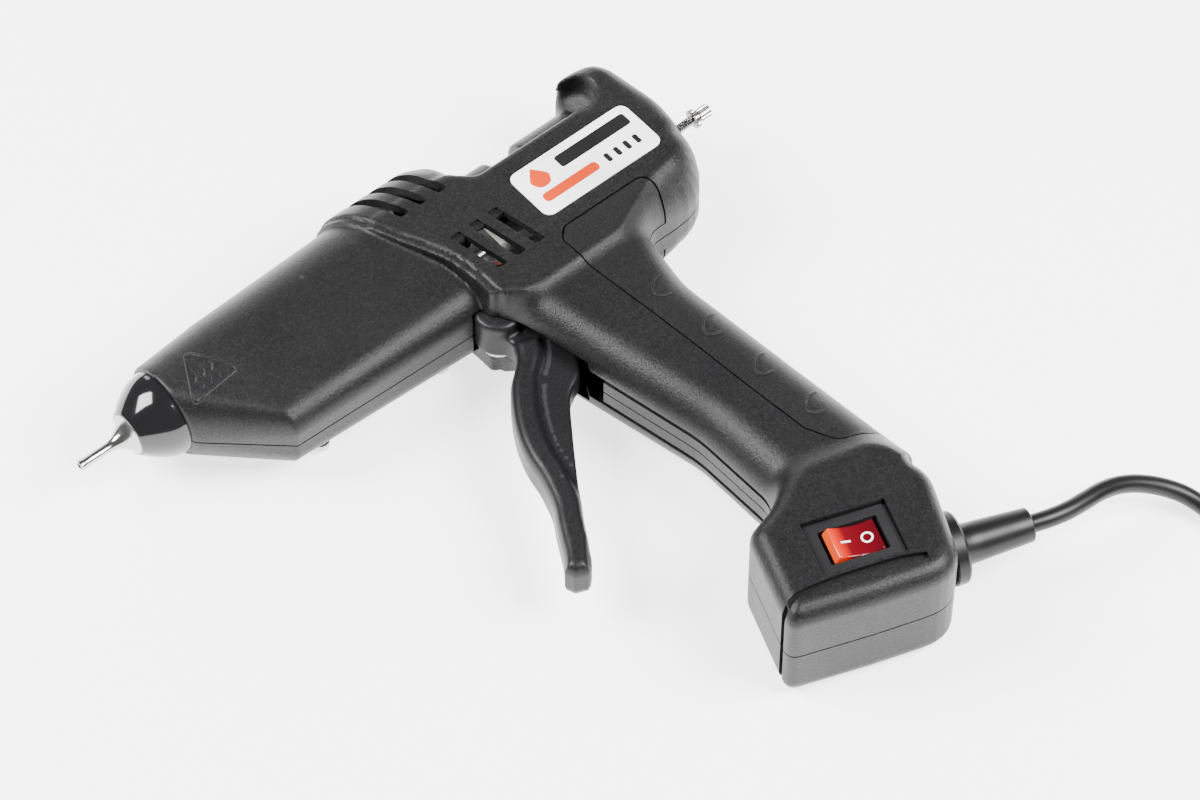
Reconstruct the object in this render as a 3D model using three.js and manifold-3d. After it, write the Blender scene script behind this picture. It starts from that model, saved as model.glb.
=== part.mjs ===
// Hot-melt glue gun for 12 mm sticks, lying on its right side, with its mains lead.
// Millimetres. X runs from the nozzle to the rear, Y from the handle's foot to the top,
// Z from the right side, which rests on the bench, up to the left side.
// The shapes are drawn in the gun's own frame: the nozzle and stick axis is y = 0, z = 0,
// x = 0 is the front rim of the barrel, and the two shells meet at z = 0. The last lines
// move everything so that the origin is under the middle of the gun, on the bench.
import * as THREE from 'three';
import { ConvexGeometry } from 'three/addons/geometries/ConvexGeometry.js';
import { mergeVertices } from 'three/addons/utils/BufferGeometryUtils.js';
import Module from 'manifold-3d';

// ---- Driving dimensions -------------------------------------------------------------
const GAP = 0.3;                  // running and touching clearance between neighbours
const WALL = 2.6;                 // wall of the moulded shells
const HALF_WIDTH = 19.5;          // from the seam to the flat side of body and foot
const CHANNEL_R = 6.9;            // channel that the 12 mm glue stick slides in

const NOSE = { tip: -29.3, rim: -12.4, rimR: 6.8, baseR: 13 };
const BARREL = { frontR: 14.2, chinX: 21.5, chinR: 15.9, rearX: 96, rearR: 18.6 };
const BULGE_R = 20;               // round top of the body over the melt chamber
const HOOD_R = 9.6;               // half-tube over the stick, ahead of the rear collar
const REAR_X = 174;               // flat rear wall
const DECK_Y = -2.9;              // flat top of the body beside the stick

const PIVOT = { x: 91, y: -38 };  // trigger pivot
const ARM = 24;                   // from the pivot to the front pin of the link
const ARM_LEAN = THREE.MathUtils.degToRad(10);
const LINK = 16.8;                // between the link's two pins
const PIN_R = 1.5;
const ARM_PIN = { x: PIVOT.x + ARM * Math.sin(ARM_LEAN), y: PIVOT.y + ARM * Math.cos(ARM_LEAN) };
const REAR_PIN = { x: ARM_PIN.x + LINK, y: ARM_PIN.y };
const PAWL_PIN = { x: REAR_PIN.x + 9, y: REAR_PIN.y };

const SCREW_Y = -16.2;            // adjusting screw, parallel to the stick
const SCREW_R = 1.5;

const TILT = THREE.MathUtils.degToRad(-20);   // the foot's base against the nozzle axis
const FOOT = { x: 80, y: -176, length: 51, height: 42.5 };
const SWITCH = { along: 25.3, up: 18.9, length: 24.3, width: 17.4 };
const ROCKER_AXIS_Z = 13.6;       // the rocker's ends are arcs of ROCKER_R round this axis
const ROCKER_R = 8.3;
const CORD_R = 2.7;
const EXIT_UP = 18;               // height of the cord's exit over the foot's base
const SLEEVE = { start: 54.2, length: 24 };
const COIL = { x: 253, y: -238, turnR: 29.7, halfWidth: 8.3, halfHeight: 7.5 };
const ORIGIN = { x: 80, y: -86.7 }; // middle of the gun's outline, in the gun's own frame

// ---- Solids -------------------------------------------------------------------------
const wasm = await Module();
wasm.setup();

function solid(geometry) {
  const bare = new THREE.BufferGeometry();
  bare.setAttribute('position', geometry.getAttribute('position'));
  if (geometry.index) bare.setIndex(geometry.index);
  const merged = mergeVertices(bare, 1e-4);
  const vertProperties = new Float32Array(merged.getAttribute('position').array);
  const triVerts = new Uint32Array(merged.index.array);
  return new wasm.Manifold(new wasm.Mesh({ numProp: 3, vertProperties, triVerts }));
}

function join(...parts) {
  return parts.reduce((sum, part) => sum.add(part));
}

function cut(body, ...tools) {
  return tools.reduce((rest, tool) => rest.subtract(tool), body);
}

function placed(geometry, x = 0, y = 0, z = 0) {
  return solid(geometry.translate(x, y, z));
}

function box(x0, x1, y0, y1, z0, z1) {
  const geometry = new THREE.BoxGeometry(x1 - x0, y1 - y0, z1 - z0);
  return placed(geometry, (x0 + x1) / 2, (y0 + y1) / 2, (z0 + z1) / 2);
}

// A round bar along Z, between z0 and z1.
function barZ(x, y, radius, z0, z1, sides = 14) {
  const geometry = new THREE.CylinderGeometry(radius, radius, z1 - z0, sides);
  geometry.rotateX(Math.PI / 2);
  return placed(geometry, x, y, (z0 + z1) / 2);
}

// A round bar along X, between x0 and x1.
function barX(x0, x1, radius, y = 0, z = 0, sides = 20) {
  const geometry = new THREE.CylinderGeometry(radius, radius, x1 - x0, sides);
  geometry.rotateZ(Math.PI / 2);
  return placed(geometry, (x0 + x1) / 2, y, z);
}

// A turned piece about the X axis. Each profile point is [x, radius].
function turnedX(profile, sides = 20, y = 0, z = 0) {
  const points = profile.map(([x, radius]) => new THREE.Vector2(radius, -x));
  const geometry = new THREE.LatheGeometry(points.reverse(), sides);
  geometry.rotateZ(Math.PI / 2);
  return placed(geometry, 0, y, z);
}

function shapeOf(points) {
  return new THREE.Shape(points.map(([x, y]) => new THREE.Vector2(x, y)));
}

// A flat outline in X and Y, thickened from z0 to z1, with rounded rims if round > 0.
function plate(points, z0, z1, round = 0, inset = 0, steps = 2) {
  const options = {
    depth: z1 - z0 - 2 * round,
    bevelEnabled: true,
    bevelThickness: round,
    bevelSize: round,
    bevelOffset: -round - inset,
    bevelSegments: round > 0 ? steps : 0,
  };
  return placed(new THREE.ExtrudeGeometry(shapeOf(points), options), 0, 0, z0 + round);
}

// Points of a round arc, from angle a0 to a1 in degrees.
function arc(cx, cy, radius, a0, a1, steps = 5) {
  return Array.from({ length: steps + 1 }, (_, i) => {
    const a = THREE.MathUtils.degToRad(a0 + ((a1 - a0) * i) / steps);
    return [cx + radius * Math.cos(a), cy + radius * Math.sin(a)];
  });
}

function ring3(center, normalAxis, radius, sides) {
  return Array.from({ length: sides }, (_, i) => {
    const a = (2 * Math.PI * i) / sides;
    const c = radius * Math.cos(a);
    const s = radius * Math.sin(a);
    if (normalAxis === 'x') return new THREE.Vector3(center[0], center[1] + c, center[2] + s);
    return new THREE.Vector3(center[0] + c, center[1], center[2] + s);
  });
}

// The tight skin round circles that stand square to an axis: [x, y, z, radius] each.
function skin(axis, circles, inset = 0, sides = 20) {
  const points = circles.flatMap(([x, y, z, r]) => ring3([x, y, z], axis, r - inset, sides));
  return solid(new ConvexGeometry(points));
}

function mirrored(circles) {
  return circles.flatMap(([x, y, z, r]) => [[x, y, z, r], [x, y, -z, r]]);
}

// A round wire or cable through the points, as one closed tube.
function tube(points, radius, sides, steps) {
  const knots = points.map((p) => new THREE.Vector3(...p));
  const path = new THREE.CatmullRomCurve3(knots, false, 'centripetal');
  const section = new THREE.Shape(arc(0, 0, radius, 0, 360 - 360 / sides, sides - 1)
    .map(([x, y]) => new THREE.Vector2(x, y)));
  return new THREE.ExtrudeGeometry(section, { steps, extrudePath: path, bevelEnabled: false });
}

// A point of the foot's own frame: along its base from the front, and up from the base.
function footPoint(along, up) {
  const c = Math.cos(TILT);
  const s = Math.sin(TILT);
  return [FOOT.x + along * c - up * s, FOOT.y + along * s + up * c];
}

// Geometry drawn with X along the foot's base and Y up from it, brought into place.
function onFoot(geometry, along, up, z = 0) {
  const [x, y] = footPoint(along, up);
  geometry.rotateZ(TILT);
  return placed(geometry, x, y, z);
}

function footBox(a0, a1, u0, u1, z0, z1) {
  const geometry = new THREE.BoxGeometry(a1 - a0, u1 - u0, z1 - z0);
  return onFoot(geometry, (a0 + a1) / 2, (u0 + u1) / 2, (z0 + z1) / 2);
}

// A round bar along the foot's base direction.
function footBar(a0, a1, r0, r1, up, sides = 20) {
  const geometry = new THREE.CylinderGeometry(r1, r0, a1 - a0, sides);
  geometry.rotateZ(-Math.PI / 2);
  return onFoot(geometry, (a0 + a1) / 2, up);
}

// ---- Materials ----------------------------------------------------------------------
const finish = (color, roughness, metalness) => ({ color, roughness, metalness });
const BLACK_PLASTIC = finish(0x1b1b1d, 0.55, 0);
const GLOSS_BLACK = finish(0x0c0c0d, 0.15, 0);
const SOFT_BLACK = finish(0x202022, 0.75, 0);
const RUBBER = finish(0x141415, 0.6, 0);
const NICKEL = finish(0xd8d8da, 0.18, 1);
const STEEL = finish(0x9a9c9f, 0.35, 1);
const ALUMINIUM = finish(0xb4b6b8, 0.45, 1);
const BRASS = finish(0xc8a24a, 0.3, 1);
const SILICONE = finish(0xb8472a, 0.6, 0);
const CERAMIC = finish(0xe8e4da, 0.7, 0);
const RED_CLEAR = finish(0xc4120c, 0.2, 0);
const WHITE = finish(0xf4f4f2, 0.4, 0);

const gun = new THREE.Group();

function addGeometry(name, geometry, look) {
  const mesh = new THREE.Mesh(geometry, new THREE.MeshStandardMaterial(look));
  mesh.name = name;
  gun.add(mesh);
}

function add(name, body, look) {
  const { vertProperties, triVerts, numProp } = body.getMesh();
  const positions = new Float32Array((vertProperties.length / numProp) * 3);
  for (let i = 0; i < positions.length / 3; i += 1) {
    positions.set(vertProperties.subarray(i * numProp, i * numProp + 3), i * 3);
  }
  const geometry = new THREE.BufferGeometry();
  geometry.setAttribute('position', new THREE.BufferAttribute(positions, 3));
  geometry.setIndex(new THREE.BufferAttribute(new Uint32Array(triVerts), 1));
  geometry.computeVertexNormals();
  addGeometry(name, geometry, look);
}

// ---- Outer form of the housing ------------------------------------------------------
// Every part of the form takes an inset, so that the same function gives the outer skin,
// the seat of the soft inlays and the hollow inside.
function barrelForm(inset) {
  return skin('x', [
    [inset, 0, 0, BARREL.frontR],
    [BARREL.chinX, 0, 0, BARREL.chinR],
    [BARREL.rearX, 0, 0, BARREL.rearR],
    ...mirrored([[BARREL.chinX, -26, 4, 8], [BARREL.rearX, -27.2, 5.5, 9]]),
  ], inset, 24);
}

const BODY_OUTLINE = [
  [70, 4], [104, 4], [113, DECK_Y], [REAR_X, DECK_Y], ...arc(REAR_X - 20, -24, 20, 0, -88, 6),
  [136, -44], [96, -44], [70, -30],
];

function bodyForm(inset) {
  const half = HALF_WIDTH - inset;
  const slab = box(0, 200, -60, 60, -half, half);
  const whole = join(
    plate(BODY_OUTLINE, -half, half, 3.2, inset),
    turnedX([
      [60 + inset, 0], [60 + inset, BULGE_R - inset], [101, BULGE_R - inset],
      [106 - inset, 18.2 - inset], [110 - inset, 14.4 - inset], [113.5 - inset, 8], [114 - inset, 0],
    ], 28),
    skin('x', mirrored([
      [152 + inset, 0, 6, 7.5], [160, 4, 8, 11], [166, 4, 8, 11], [REAR_X - inset, 3, 8, 6],
      [160, -18, 8, 11], [166, -18, 8, 11], [152 + inset, -18, 8, 11],
    ]), inset, 16),
  );
  return whole.intersect(slab);
}

// The space in front of the step where the barrel leaves the body.
function bodyFrontSpace(inset) {
  const line = [[68, 26], [72, 18], [77, 6], [82, -6], [86, -14], [89, -21], [90.5, -31], [90.5, -50]];
  const shifted = line.map(([x, y]) => [x + inset, y]);
  return plate([[40, -50], ...shifted.reverse(), [40, 26]], -30, 30);
}

function gripForm(inset) {
  const half = HALF_WIDTH - 1;
  const upper = skin('y', mirrored([
    [99.5, -34, half - 9.2, 9.2], [131, -34, half - 10.5, 10.5],
    [107.5, -66, 6.5, 10.5], [124.5, -66, 3, 13.5],
  ]), inset);
  const lower = skin('y', mirrored([
    [107.5, -66, 6.5, 10.5], [124.5, -66, 3, 13.5],
    [117, -108, 5.5, 11], [128.5, -108, 2.5, 14],
    [119, -152, 6, 12], [132, -152, 3, 14.8],
  ]), inset);
  return join(upper, lower);
}

function footOutline() {
  const { length, height } = FOOT;
  const local = [
    [0, 0], [length, 0], [length + 3.9, height - 1], [length - 2, height + 6],
    [16, height + 3], [-0.8, height - 12],
  ];
  return local.map(([along, up]) => footPoint(along, up));
}

function footForm(inset) {
  const half = HALF_WIDTH - inset;
  return plate(footOutline(), -half, half, 5, inset, 3);
}

// The half-tube over the stick between the open stretch of the channel and the collar.
function hood() {
  const tubes = join(
    turnedX([[133, 0], [133, HOOD_R - 2], [135, HOOD_R], [156, HOOD_R], [156, 0]], 24),
    turnedX([[106, 0], [106, HOOD_R], [121, HOOD_R], [123, HOOD_R - 2], [123, 0]], 24),
  );
  return tubes.intersect(box(100, 160, DECK_Y - 1, 20, -12, 12));
}

function outerForm(inset) {
  const body = cut(bodyForm(inset), bodyFrontSpace(inset));
  return join(barrelForm(inset), body, gripForm(inset), footForm(inset));
}

// ---- Openings in the housing --------------------------------------------------------
const SHELL_SCREWS = [
  [34, -27.3], [77, -28], [162, -31], [114.5, -98], footPoint(7, 19), footPoint(46.5, 33),
];

function ventSlots() {
  const slots = [];
  for (let i = 0; i < 3; i += 1) {
    const x = 97.5 + 7.1 * i;
    const lean = 7.5;
    slots.push(plate([[x, -16], [x + 3.4, -16], [x + 3.4 + lean, -34], [x + lean, -34]], -30, 30));
    const top = 83.5 + 7.2 * i;
    slots.push(plate([[top, 26], [top + 3.4, 26], [top + 12.2, 1.5], [top + 8.8, 1.5]], -30, 30));
  }
  return join(...slots);
}

function triggerMouth() {
  return plate([[80, -33], [97, -33], [112, -44], [112, -80], [80, -80]], -7.8, 7.8);
}

function collarNotch() {
  return cut(barZ(154.5, 1.6, 6.3, -30, 30, 24), barX(140, 170, HOOD_R, 0, 0, 28));
}

function footGroove() {
  const depth = HALF_WIDTH - 1.6;
  const band = footBox(-4, FOOT.length - 3, 6.6, 8, -22, 22);
  return cut(band, footBox(1.6, FOOT.length + 9, 6, 9, -depth, depth));
}

function gripGrooves() {
  const line = (z) => plate([[94, -64], [99.6, -64], [108.2, -108], [109.2, -141], [94, -141]], z, z + 1);
  return join(line(4.6), line(-5.6));
}

function labelOutline(inset) {
  const r = 3.5;
  const [x0, x1, y0, y1] = [117.5 + inset, 162.5 - inset, -28.6 + inset, -9.4 - inset];
  return [
    ...arc(x0 + r, y0 + r, r, 180, 270, 3), ...arc(x1 - r, y0 + r, r, 270, 360, 3),
    ...arc(x1 - r, y1 - r, r, 0, 90, 3), ...arc(x0 + r, y1 - r, r, 90, 180, 3),
  ];
}

const INLAY_OUTLINE = [
  [119, -32.8], [147, -32.8], [150.4, -36], [150.4, -41], [146, -51], [150, -70], [158, -100],
  [156, -142], [139, -142.5], [130, -139.5], [125.5, -131], [121.5, -91], [119, -68],
  [116, -48], [115.6, -38],
];

function inlaySeat(inset) {
  return plate(INLAY_OUTLINE, 6 + inset, 30, 0, inset);
}

const form = outerForm(0);
const inlayDepth = outerForm(1.5);
const hollow = outerForm(WALL);

function shellBody() {
  const [padX, padY] = footPoint(SWITCH.along, SWITCH.up);
  const switchWell = new THREE.BoxGeometry(SWITCH.length + 2 * GAP, SWITCH.width + 2 * GAP, 8);
  const bosses = SHELL_SCREWS.map(([x, y]) => barZ(x, y, 3.6, -HALF_WIDTH + 1, HALF_WIDTH - 1));
  const pivotBosses = barZ(PIVOT.x, PIVOT.y, 4.4, -17, 17);
  const channelWall = barX(143, REAR_X - 1, CHANNEL_R + 1.6, 0, 0, 28);
  const screwWall = box(REAR_X - 9, REAR_X - 1, SCREW_Y - 5.5, SCREW_Y + 5.5, -8, 8);
  const solidShell = join(cut(form, hollow), hood(),
    join(...bosses, pivotBosses, channelWall, screwWall).intersect(form.add(hood())));
  const interior = join(
    barX(-5, 5, BARREL.frontR - WALL, 0, 0, 32),
    barX(80, REAR_X + 5, CHANNEL_R, 0, 0, 28),
    barX(REAR_X - 20, REAR_X + 5, SCREW_R + 0.6, SCREW_Y, 0, 16),
    barX(REAR_X - 20, REAR_X - 3, 3.6, SCREW_Y, 0, 6),
    barZ(PIVOT.x, PIVOT.y, 2.3, -15, 15),
    barZ(PIVOT.x, PIVOT.y, 7.9, -8.4, 8.4, 24),
    footBar(SLEEVE.start - 14, SLEEVE.start + 6, 6.6, 6.6, EXIT_UP),
    placed(switchWell.rotateZ(TILT), padX, padY, HALF_WIDTH),
  );
  const screwHoles = SHELL_SCREWS.map(([x, y]) => join(
    barZ(x, y, 1.7, -30, 13, 10), barZ(x, y, 3.1, -30, -HALF_WIDTH + 4.5, 14),
  ));
  return cut(solidShell, interior, ...screwHoles, ventSlots(), triggerMouth(), collarNotch(),
    footGroove(), gripGrooves(),
    plate(labelOutline(0), HALF_WIDTH - 0.7, HALF_WIDTH + 5));
}

function largest(body) {
  const pieces = body.decompose();
  return pieces.reduce((best, piece) => (piece.volume() > best.volume() ? piece : best));
}

function addHousing() {
  const both = shellBody();
  const above = box(-60, 260, -260, 60, 0.15, 60);
  const below = box(-60, 260, -260, 60, -60, -0.15);
  const seat = cut(inlaySeat(0), inlayDepth);
  const mirror = (body) => body.scale([1, 1, -1]);
  const left = largest(cut(both.intersect(above), seat));
  add('left_shell', left, BLACK_PLASTIC);
  add('right_shell', largest(cut(both.intersect(below), mirror(seat))), BLACK_PLASTIC);
  const inlay = cut(form, outerForm(1.5 - GAP)).intersect(inlaySeat(GAP));
  add('grip_inlay_left', largest(inlay), SOFT_BLACK);
  add('grip_inlay_right', largest(mirror(inlay)), SOFT_BLACK);
  add('label_plate', plate(labelOutline(GAP), HALF_WIDTH - 0.4, HALF_WIDTH), WHITE);
}

// ---- Nose and hot end ---------------------------------------------------------------
function addNose() {
  const { rim, rimR, baseR, tip } = NOSE;
  add('nose_cone', turnedX([
    [rim, rimR - 0.2], [rim, rimR + 0.1], [-9.6, 8.6], [-6, 10.7], [-2.6, 12.2], [-GAP, baseR],
    [-GAP, 11.2], [3.8, 11.2], [3.8, 9.2], [-2, 8.8], [-8, 6.6], [rim + 0.8, 6.2], [rim, rimR - 0.2],
  ], 28), GLOSS_BLACK);
  add('nozzle', turnedX([
    [tip, 0.8], [tip, 1.5], [-18.4, 1.55], [-16.6, 2.3], [-14.4, 4.4], [rim, 6.2],
    [rim + 0.6, 5.8], [-8.5, 5.6], [-3, 5.4], [-3, 3.8], [9, 3.8], [9, 1.2], [-16, 0.8], [tip, 0.8],
  ], 20), NICKEL);
  add('nozzle_washer', turnedX([
    [2.6, 4.1], [2.6, 6.4], [3.9, 6.4], [3.9, 4.1], [2.6, 4.1],
  ], 16), BRASS);
}

function addHotEnd() {
  const chamber = join(
    turnedX([[4.2, 0], [4.2, 9], [8, 10.6], [80, 10.6], [84, 9], [84, 0]], 22),
    box(22, 66, -12.4, -4, -8, 8),
  );
  const boreTool = turnedX([[3, 0], [3, 4.1], [9.6, 4.1], [30, 6.2], [85, 6.5], [85, 0]], 20);
  add('melt_chamber', cut(chamber, boreTool), ALUMINIUM);
  add('heater_plate', box(26, 62, -15.4, -12.7, -7, 7), CERAMIC);
  add('heater_insulator', box(25, 63, -16.7, -15.7, -7.6, 7.6), CERAMIC);
  const clamp = box(25, 63, -19, -17, -9.4, 9.4);
  const lugs = join(box(30, 36, -17.2, -8, 8.3, 9.4), box(30, 36, -17.2, -8, -9.4, -8.3));
  add('heater_clamp', join(clamp, lugs), STEEL);
  add('thermal_fuse', barX(38, 54, 2.2, -21.6, 3, 14), CERAMIC);
  add('inlet_sleeve', turnedX([
    [84.3, 6.4], [84.3, 9], [94, 9.2], [96.5, 8.6], [96.5, 7], [90, 6.4], [84.3, 6.4],
  ], 18), SILICONE);
  add('sleeve_clip', turnedX([
    [87, 9.5], [87, 10.4], [89.4, 10.4], [89.4, 9.5], [87, 9.5],
  ], 18), STEEL);
}

// ---- Trigger and feed ---------------------------------------------------------------
function addTrigger() {
  const front = [
    [84, -42], [86, -46], [88.5, -50], [84.5, -54], [79, -59], [74.5, -64.5], [71, -70], [68, -76],
    [66, -82], [64.8, -88], [63, -94], [61, -99], [58, -104], [53, -113], [50, -117],
  ];
  const rear = [
    [51, -119.5], [54.5, -121], [57.6, -118.6], [61.6, -111], [70.5, -98], [79.5, -85], [87.5, -74],
    [90.4, -71], [97, -67], [101, -60], [102.5, -52], [101, -44], [97.5, -37],
  ];
  const arm = [
    [ARM_PIN.x + 3.2, ARM_PIN.y], ...arc(ARM_PIN.x, ARM_PIN.y, 3.2, 0, 180, 6), [84.5, -33],
  ];
  const inner = front.slice(2).map(([x, y]) => [x + 6.5, y - 2.4]).reverse();
  const tip = [[51, -119.5], [54.5, -121]];
  const fingerPlate = plate([...front.slice(2), ...tip, ...inner.slice(1)], -7, 7, 2, 0, 3);
  const web = plate([...front, ...rear, ...arm], -4, 4);
  const fork = box(ARM_PIN.x - 6, ARM_PIN.x + 6, -20, -8, -2, 2);
  const blade = cut(join(web, fingerPlate), fork,
    barZ(PIVOT.x, PIVOT.y, 2.3, -9, 9), barZ(ARM_PIN.x, ARM_PIN.y, PIN_R + GAP, -9, 9));
  add('trigger', blade, BLACK_PLASTIC);
  add('trigger_pin', barZ(PIVOT.x, PIVOT.y, 2, -14.6, 14.6), STEEL);
  const spring = cut(barZ(PIVOT.x, PIVOT.y, 5.6, 4.4, 8, 16), barZ(PIVOT.x, PIVOT.y, 4.4, 4, 9, 16));
  add('trigger_spring', spring, STEEL);
  const washer = cut(barZ(PIVOT.x, PIVOT.y, 5, -8, -4.4, 16), barZ(PIVOT.x, PIVOT.y, 2.4, -9, -4, 14));
  add('pivot_spacer', washer, WHITE);
}

function addFeed() {
  const pinHole = (x, y) => barZ(x, y, PIN_R + GAP, -12, 12);
  const pad = box(REAR_PIN.x - 6, REAR_PIN.x + 18, -21, -7.4, -9, 9);
  const tail = box(REAR_PIN.x + 17, REAR_PIN.x + 26, -18.6, -13.8, -2.4, 2.4);
  add('feed_carriage', cut(join(pad, tail), barX(95, 142, CHANNEL_R + GAP),
    box(REAR_PIN.x - 8, REAR_PIN.x + 15, -22, -5, -3.3, 3.3),
    pinHole(REAR_PIN.x, REAR_PIN.y), pinHole(PAWL_PIN.x, PAWL_PIN.y),
    barX(95, 142, PIN_R + 0.4, -18.3, 6.2, 16), barX(95, 142, PIN_R + 0.4, -18.3, -6.2, 16)), WHITE);
  add('link_pin_rear', barZ(REAR_PIN.x, REAR_PIN.y, PIN_R, -8.6, 8.6), STEEL);
  add('pawl_pin', barZ(PAWL_PIN.x, PAWL_PIN.y, PIN_R, -8.6, 8.6), STEEL);
  add('link_pin_front', barZ(ARM_PIN.x, ARM_PIN.y, PIN_R, -4.6, 4.6), STEEL);
  const pawl = plate([
    [PAWL_PIN.x + 3, PAWL_PIN.y - 3], [PAWL_PIN.x + 3, PAWL_PIN.y + 2], [PAWL_PIN.x, -8.2],
    [PAWL_PIN.x - 3, -7.2], [PAWL_PIN.x - 3.4, -9.4], [PAWL_PIN.x - 3.4, PAWL_PIN.y - 3],
  ], -2.8, 2.8);
  add('grip_pawl', cut(pawl, pinHole(PAWL_PIN.x, PAWL_PIN.y)), STEEL);
  const link = plate([
    ...arc(ARM_PIN.x, ARM_PIN.y, 3, 90, 270, 6), ...arc(REAR_PIN.x, REAR_PIN.y, 3, -90, 90, 6),
  ], -1.6, 1.6);
  const openHole = barZ(REAR_PIN.x, REAR_PIN.y, PIN_R + 0.6, -4, 4);
  add('drive_link', cut(link, pinHole(ARM_PIN.x, ARM_PIN.y), openHole), STEEL);
  add('guide_rod_left', barX(96.8, 150, PIN_R, -18.3, 6.2, 14), STEEL);
  add('guide_rod_right', barX(96.8, 150, PIN_R, -18.3, -6.2, 14), STEEL);
  const bracket = box(150.3, 153.3, -22.5, -10.6, -8.6, 8.6);
  add('guide_bracket', cut(bracket, barX(150, 154, SCREW_R + 0.6, SCREW_Y, 0, 16)), WHITE);
}

function addStrokeScrew() {
  add('threaded_insert', cut(barX(REAR_X - 11, REAR_X - 3.3, 3.2, SCREW_Y, 0, 6),
    barX(REAR_X - 12, REAR_X, SCREW_R + GAP, SCREW_Y, 0, 16)), BRASS);
  const foot = turnedX([[146, 0], [146, 2.6], [149.8, 2.6], [149.8, 0]], 18, SCREW_Y);
  add('screw_foot', foot, WHITE);
  const rod = turnedX([
    [150.1, 0], [150.1, SCREW_R], [184.9, SCREW_R], [184.9, 1.9], [189, 1.9], [189.3, 1.6], [189.3, 0],
  ], 16, SCREW_Y);
  add('adjusting_screw', rod, NICKEL);
  const nut = turnedX([[182.9, 1.8], [182.9, 2.9], [184.5, 2.9], [184.5, 1.8], [182.9, 1.8]], 20, SCREW_Y);
  add('lock_nut', nut, NICKEL);
}

// ---- Switch, wiring and lead --------------------------------------------------------
function addSwitch() {
  const { along, up, length, width } = SWITCH;
  const housing = join(
    footBox(along - length / 2, along + length / 2, up - width / 2, up + width / 2, 15.8, 17.6),
    footBox(along - 9.4, along + 9.4, up - 6.4, up + 6.4, 2, 16.2),
  );
  const well = footBox(along - 8.6, along + 8.6, up - 5.6, up + 5.6, 9.5, 20);
  add('switch_housing', cut(housing, well), GLOSS_BLACK);
  const side = [
    ...arc(0, 0, ROCKER_R, 136, 156, 2), [-6, 0.6], [-1, -2.4], [5, -1.4],
    ...arc(0, 0, ROCKER_R, 8, 28, 2), [0.8, 3.3],
  ];
  const rocker = new THREE.ExtrudeGeometry(shapeOf(side), { depth: 10.4, bevelEnabled: false });
  rocker.translate(0, 0, -5.2);
  rocker.rotateX(Math.PI / 2);
  add('rocker', onFoot(rocker, along, up, ROCKER_AXIS_Z), RED_CLEAR);
  add('switch_terminal_1', footBox(along - 6, along - 5.2, up - 2.4, up + 2.4, -6, 1.7), BRASS);
  add('switch_terminal_2', footBox(along + 5.2, along + 6, up - 2.4, up + 2.4, -6, 1.7), BRASS);
}

function addWiring() {
  const [x0, y0] = footPoint(40, 30);
  const run = (z, foot) => [
    [x0, y0, foot], [129, -128, z * 0.8], [127, -100, z], [126, -70, z], [120, -50, z * 1.2],
    [106, -30, z * 1.5], [90, -25.5, z * 1.3], [70, -22.5, z * 0.9],
  ];
  addGeometry('lead_live', tube(run(8, 5), 0.9, 8, 18), SILICONE);
  addGeometry('lead_neutral', tube(run(-8, -5), 0.9, 8, 18), CERAMIC);
}

function addCordGrip() {
  add('strain_relief', join(
    footBar(SLEEVE.start - 10, SLEEVE.start - 0.1, 6, 6, EXIT_UP, 24),
    footBar(SLEEVE.start, SLEEVE.start + 2.4, 7.6, 7.2, EXIT_UP, 24),
    footBar(SLEEVE.start - 0.2, SLEEVE.start + SLEEVE.length, 5.3, 4.5, EXIT_UP, 24),
  ), RUBBER);
  add('cord_tail', footBar(35.2, SLEEVE.start - 10.3, CORD_R, CORD_R, EXIT_UP, 12), RUBBER);
  add('cord_clamp', footBox(37.2, 41.8, EXIT_UP - 7, EXIT_UP + 7, CORD_R + GAP, CORD_R + 3.4), WHITE);
  for (const [i, side] of [-1, 1].entries()) {
    const [x, y] = footPoint(39.5, EXIT_UP + side * 5);
    add(`clamp_screw_${i + 1}`, barZ(x, y, 1.9, CORD_R + 3.7, CORD_R + 5.4, 14), STEEL);
  }
  for (const [i, [x, y]] of SHELL_SCREWS.entries()) {
    const head = barZ(x, y, 2.7, -HALF_WIDTH + 2, -HALF_WIDTH + 4.2, 12);
    add(`shell_screw_${i + 1}`, join(head, barZ(x, y, 1.35, -HALF_WIDTH + 4, 9, 8)), STEEL);
  }
}

// The lead's free run: out of the sleeve, down to the bench, then out to the coil.
const FLOOR_Z = -HALF_WIDTH + CORD_R + 0.15;
const RUN = [
  [160, -186, 0], [165.6, -187.9, -0.1], [171.3, -189, -0.6], [177.2, -189.2, -1.5],
  [183.4, -189.1, -2.8], [189.2, -189.6, -4.6], [194.4, -191.1, -6.6], [199.2, -193.6, -8.8],
  [203.4, -196.8, -11], [206.7, -200.9, -12.9], [208.7, -205.9, -14.5], [209.7, -212, -15.7],
  [210.6, -219.5, -16.4], [212.2, -227.5, FLOOR_Z],
];

function coilPoint(dx, dy, height) {
  return [COIL.x + dx, COIL.y + dy, height - HALF_WIDTH];
}

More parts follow.
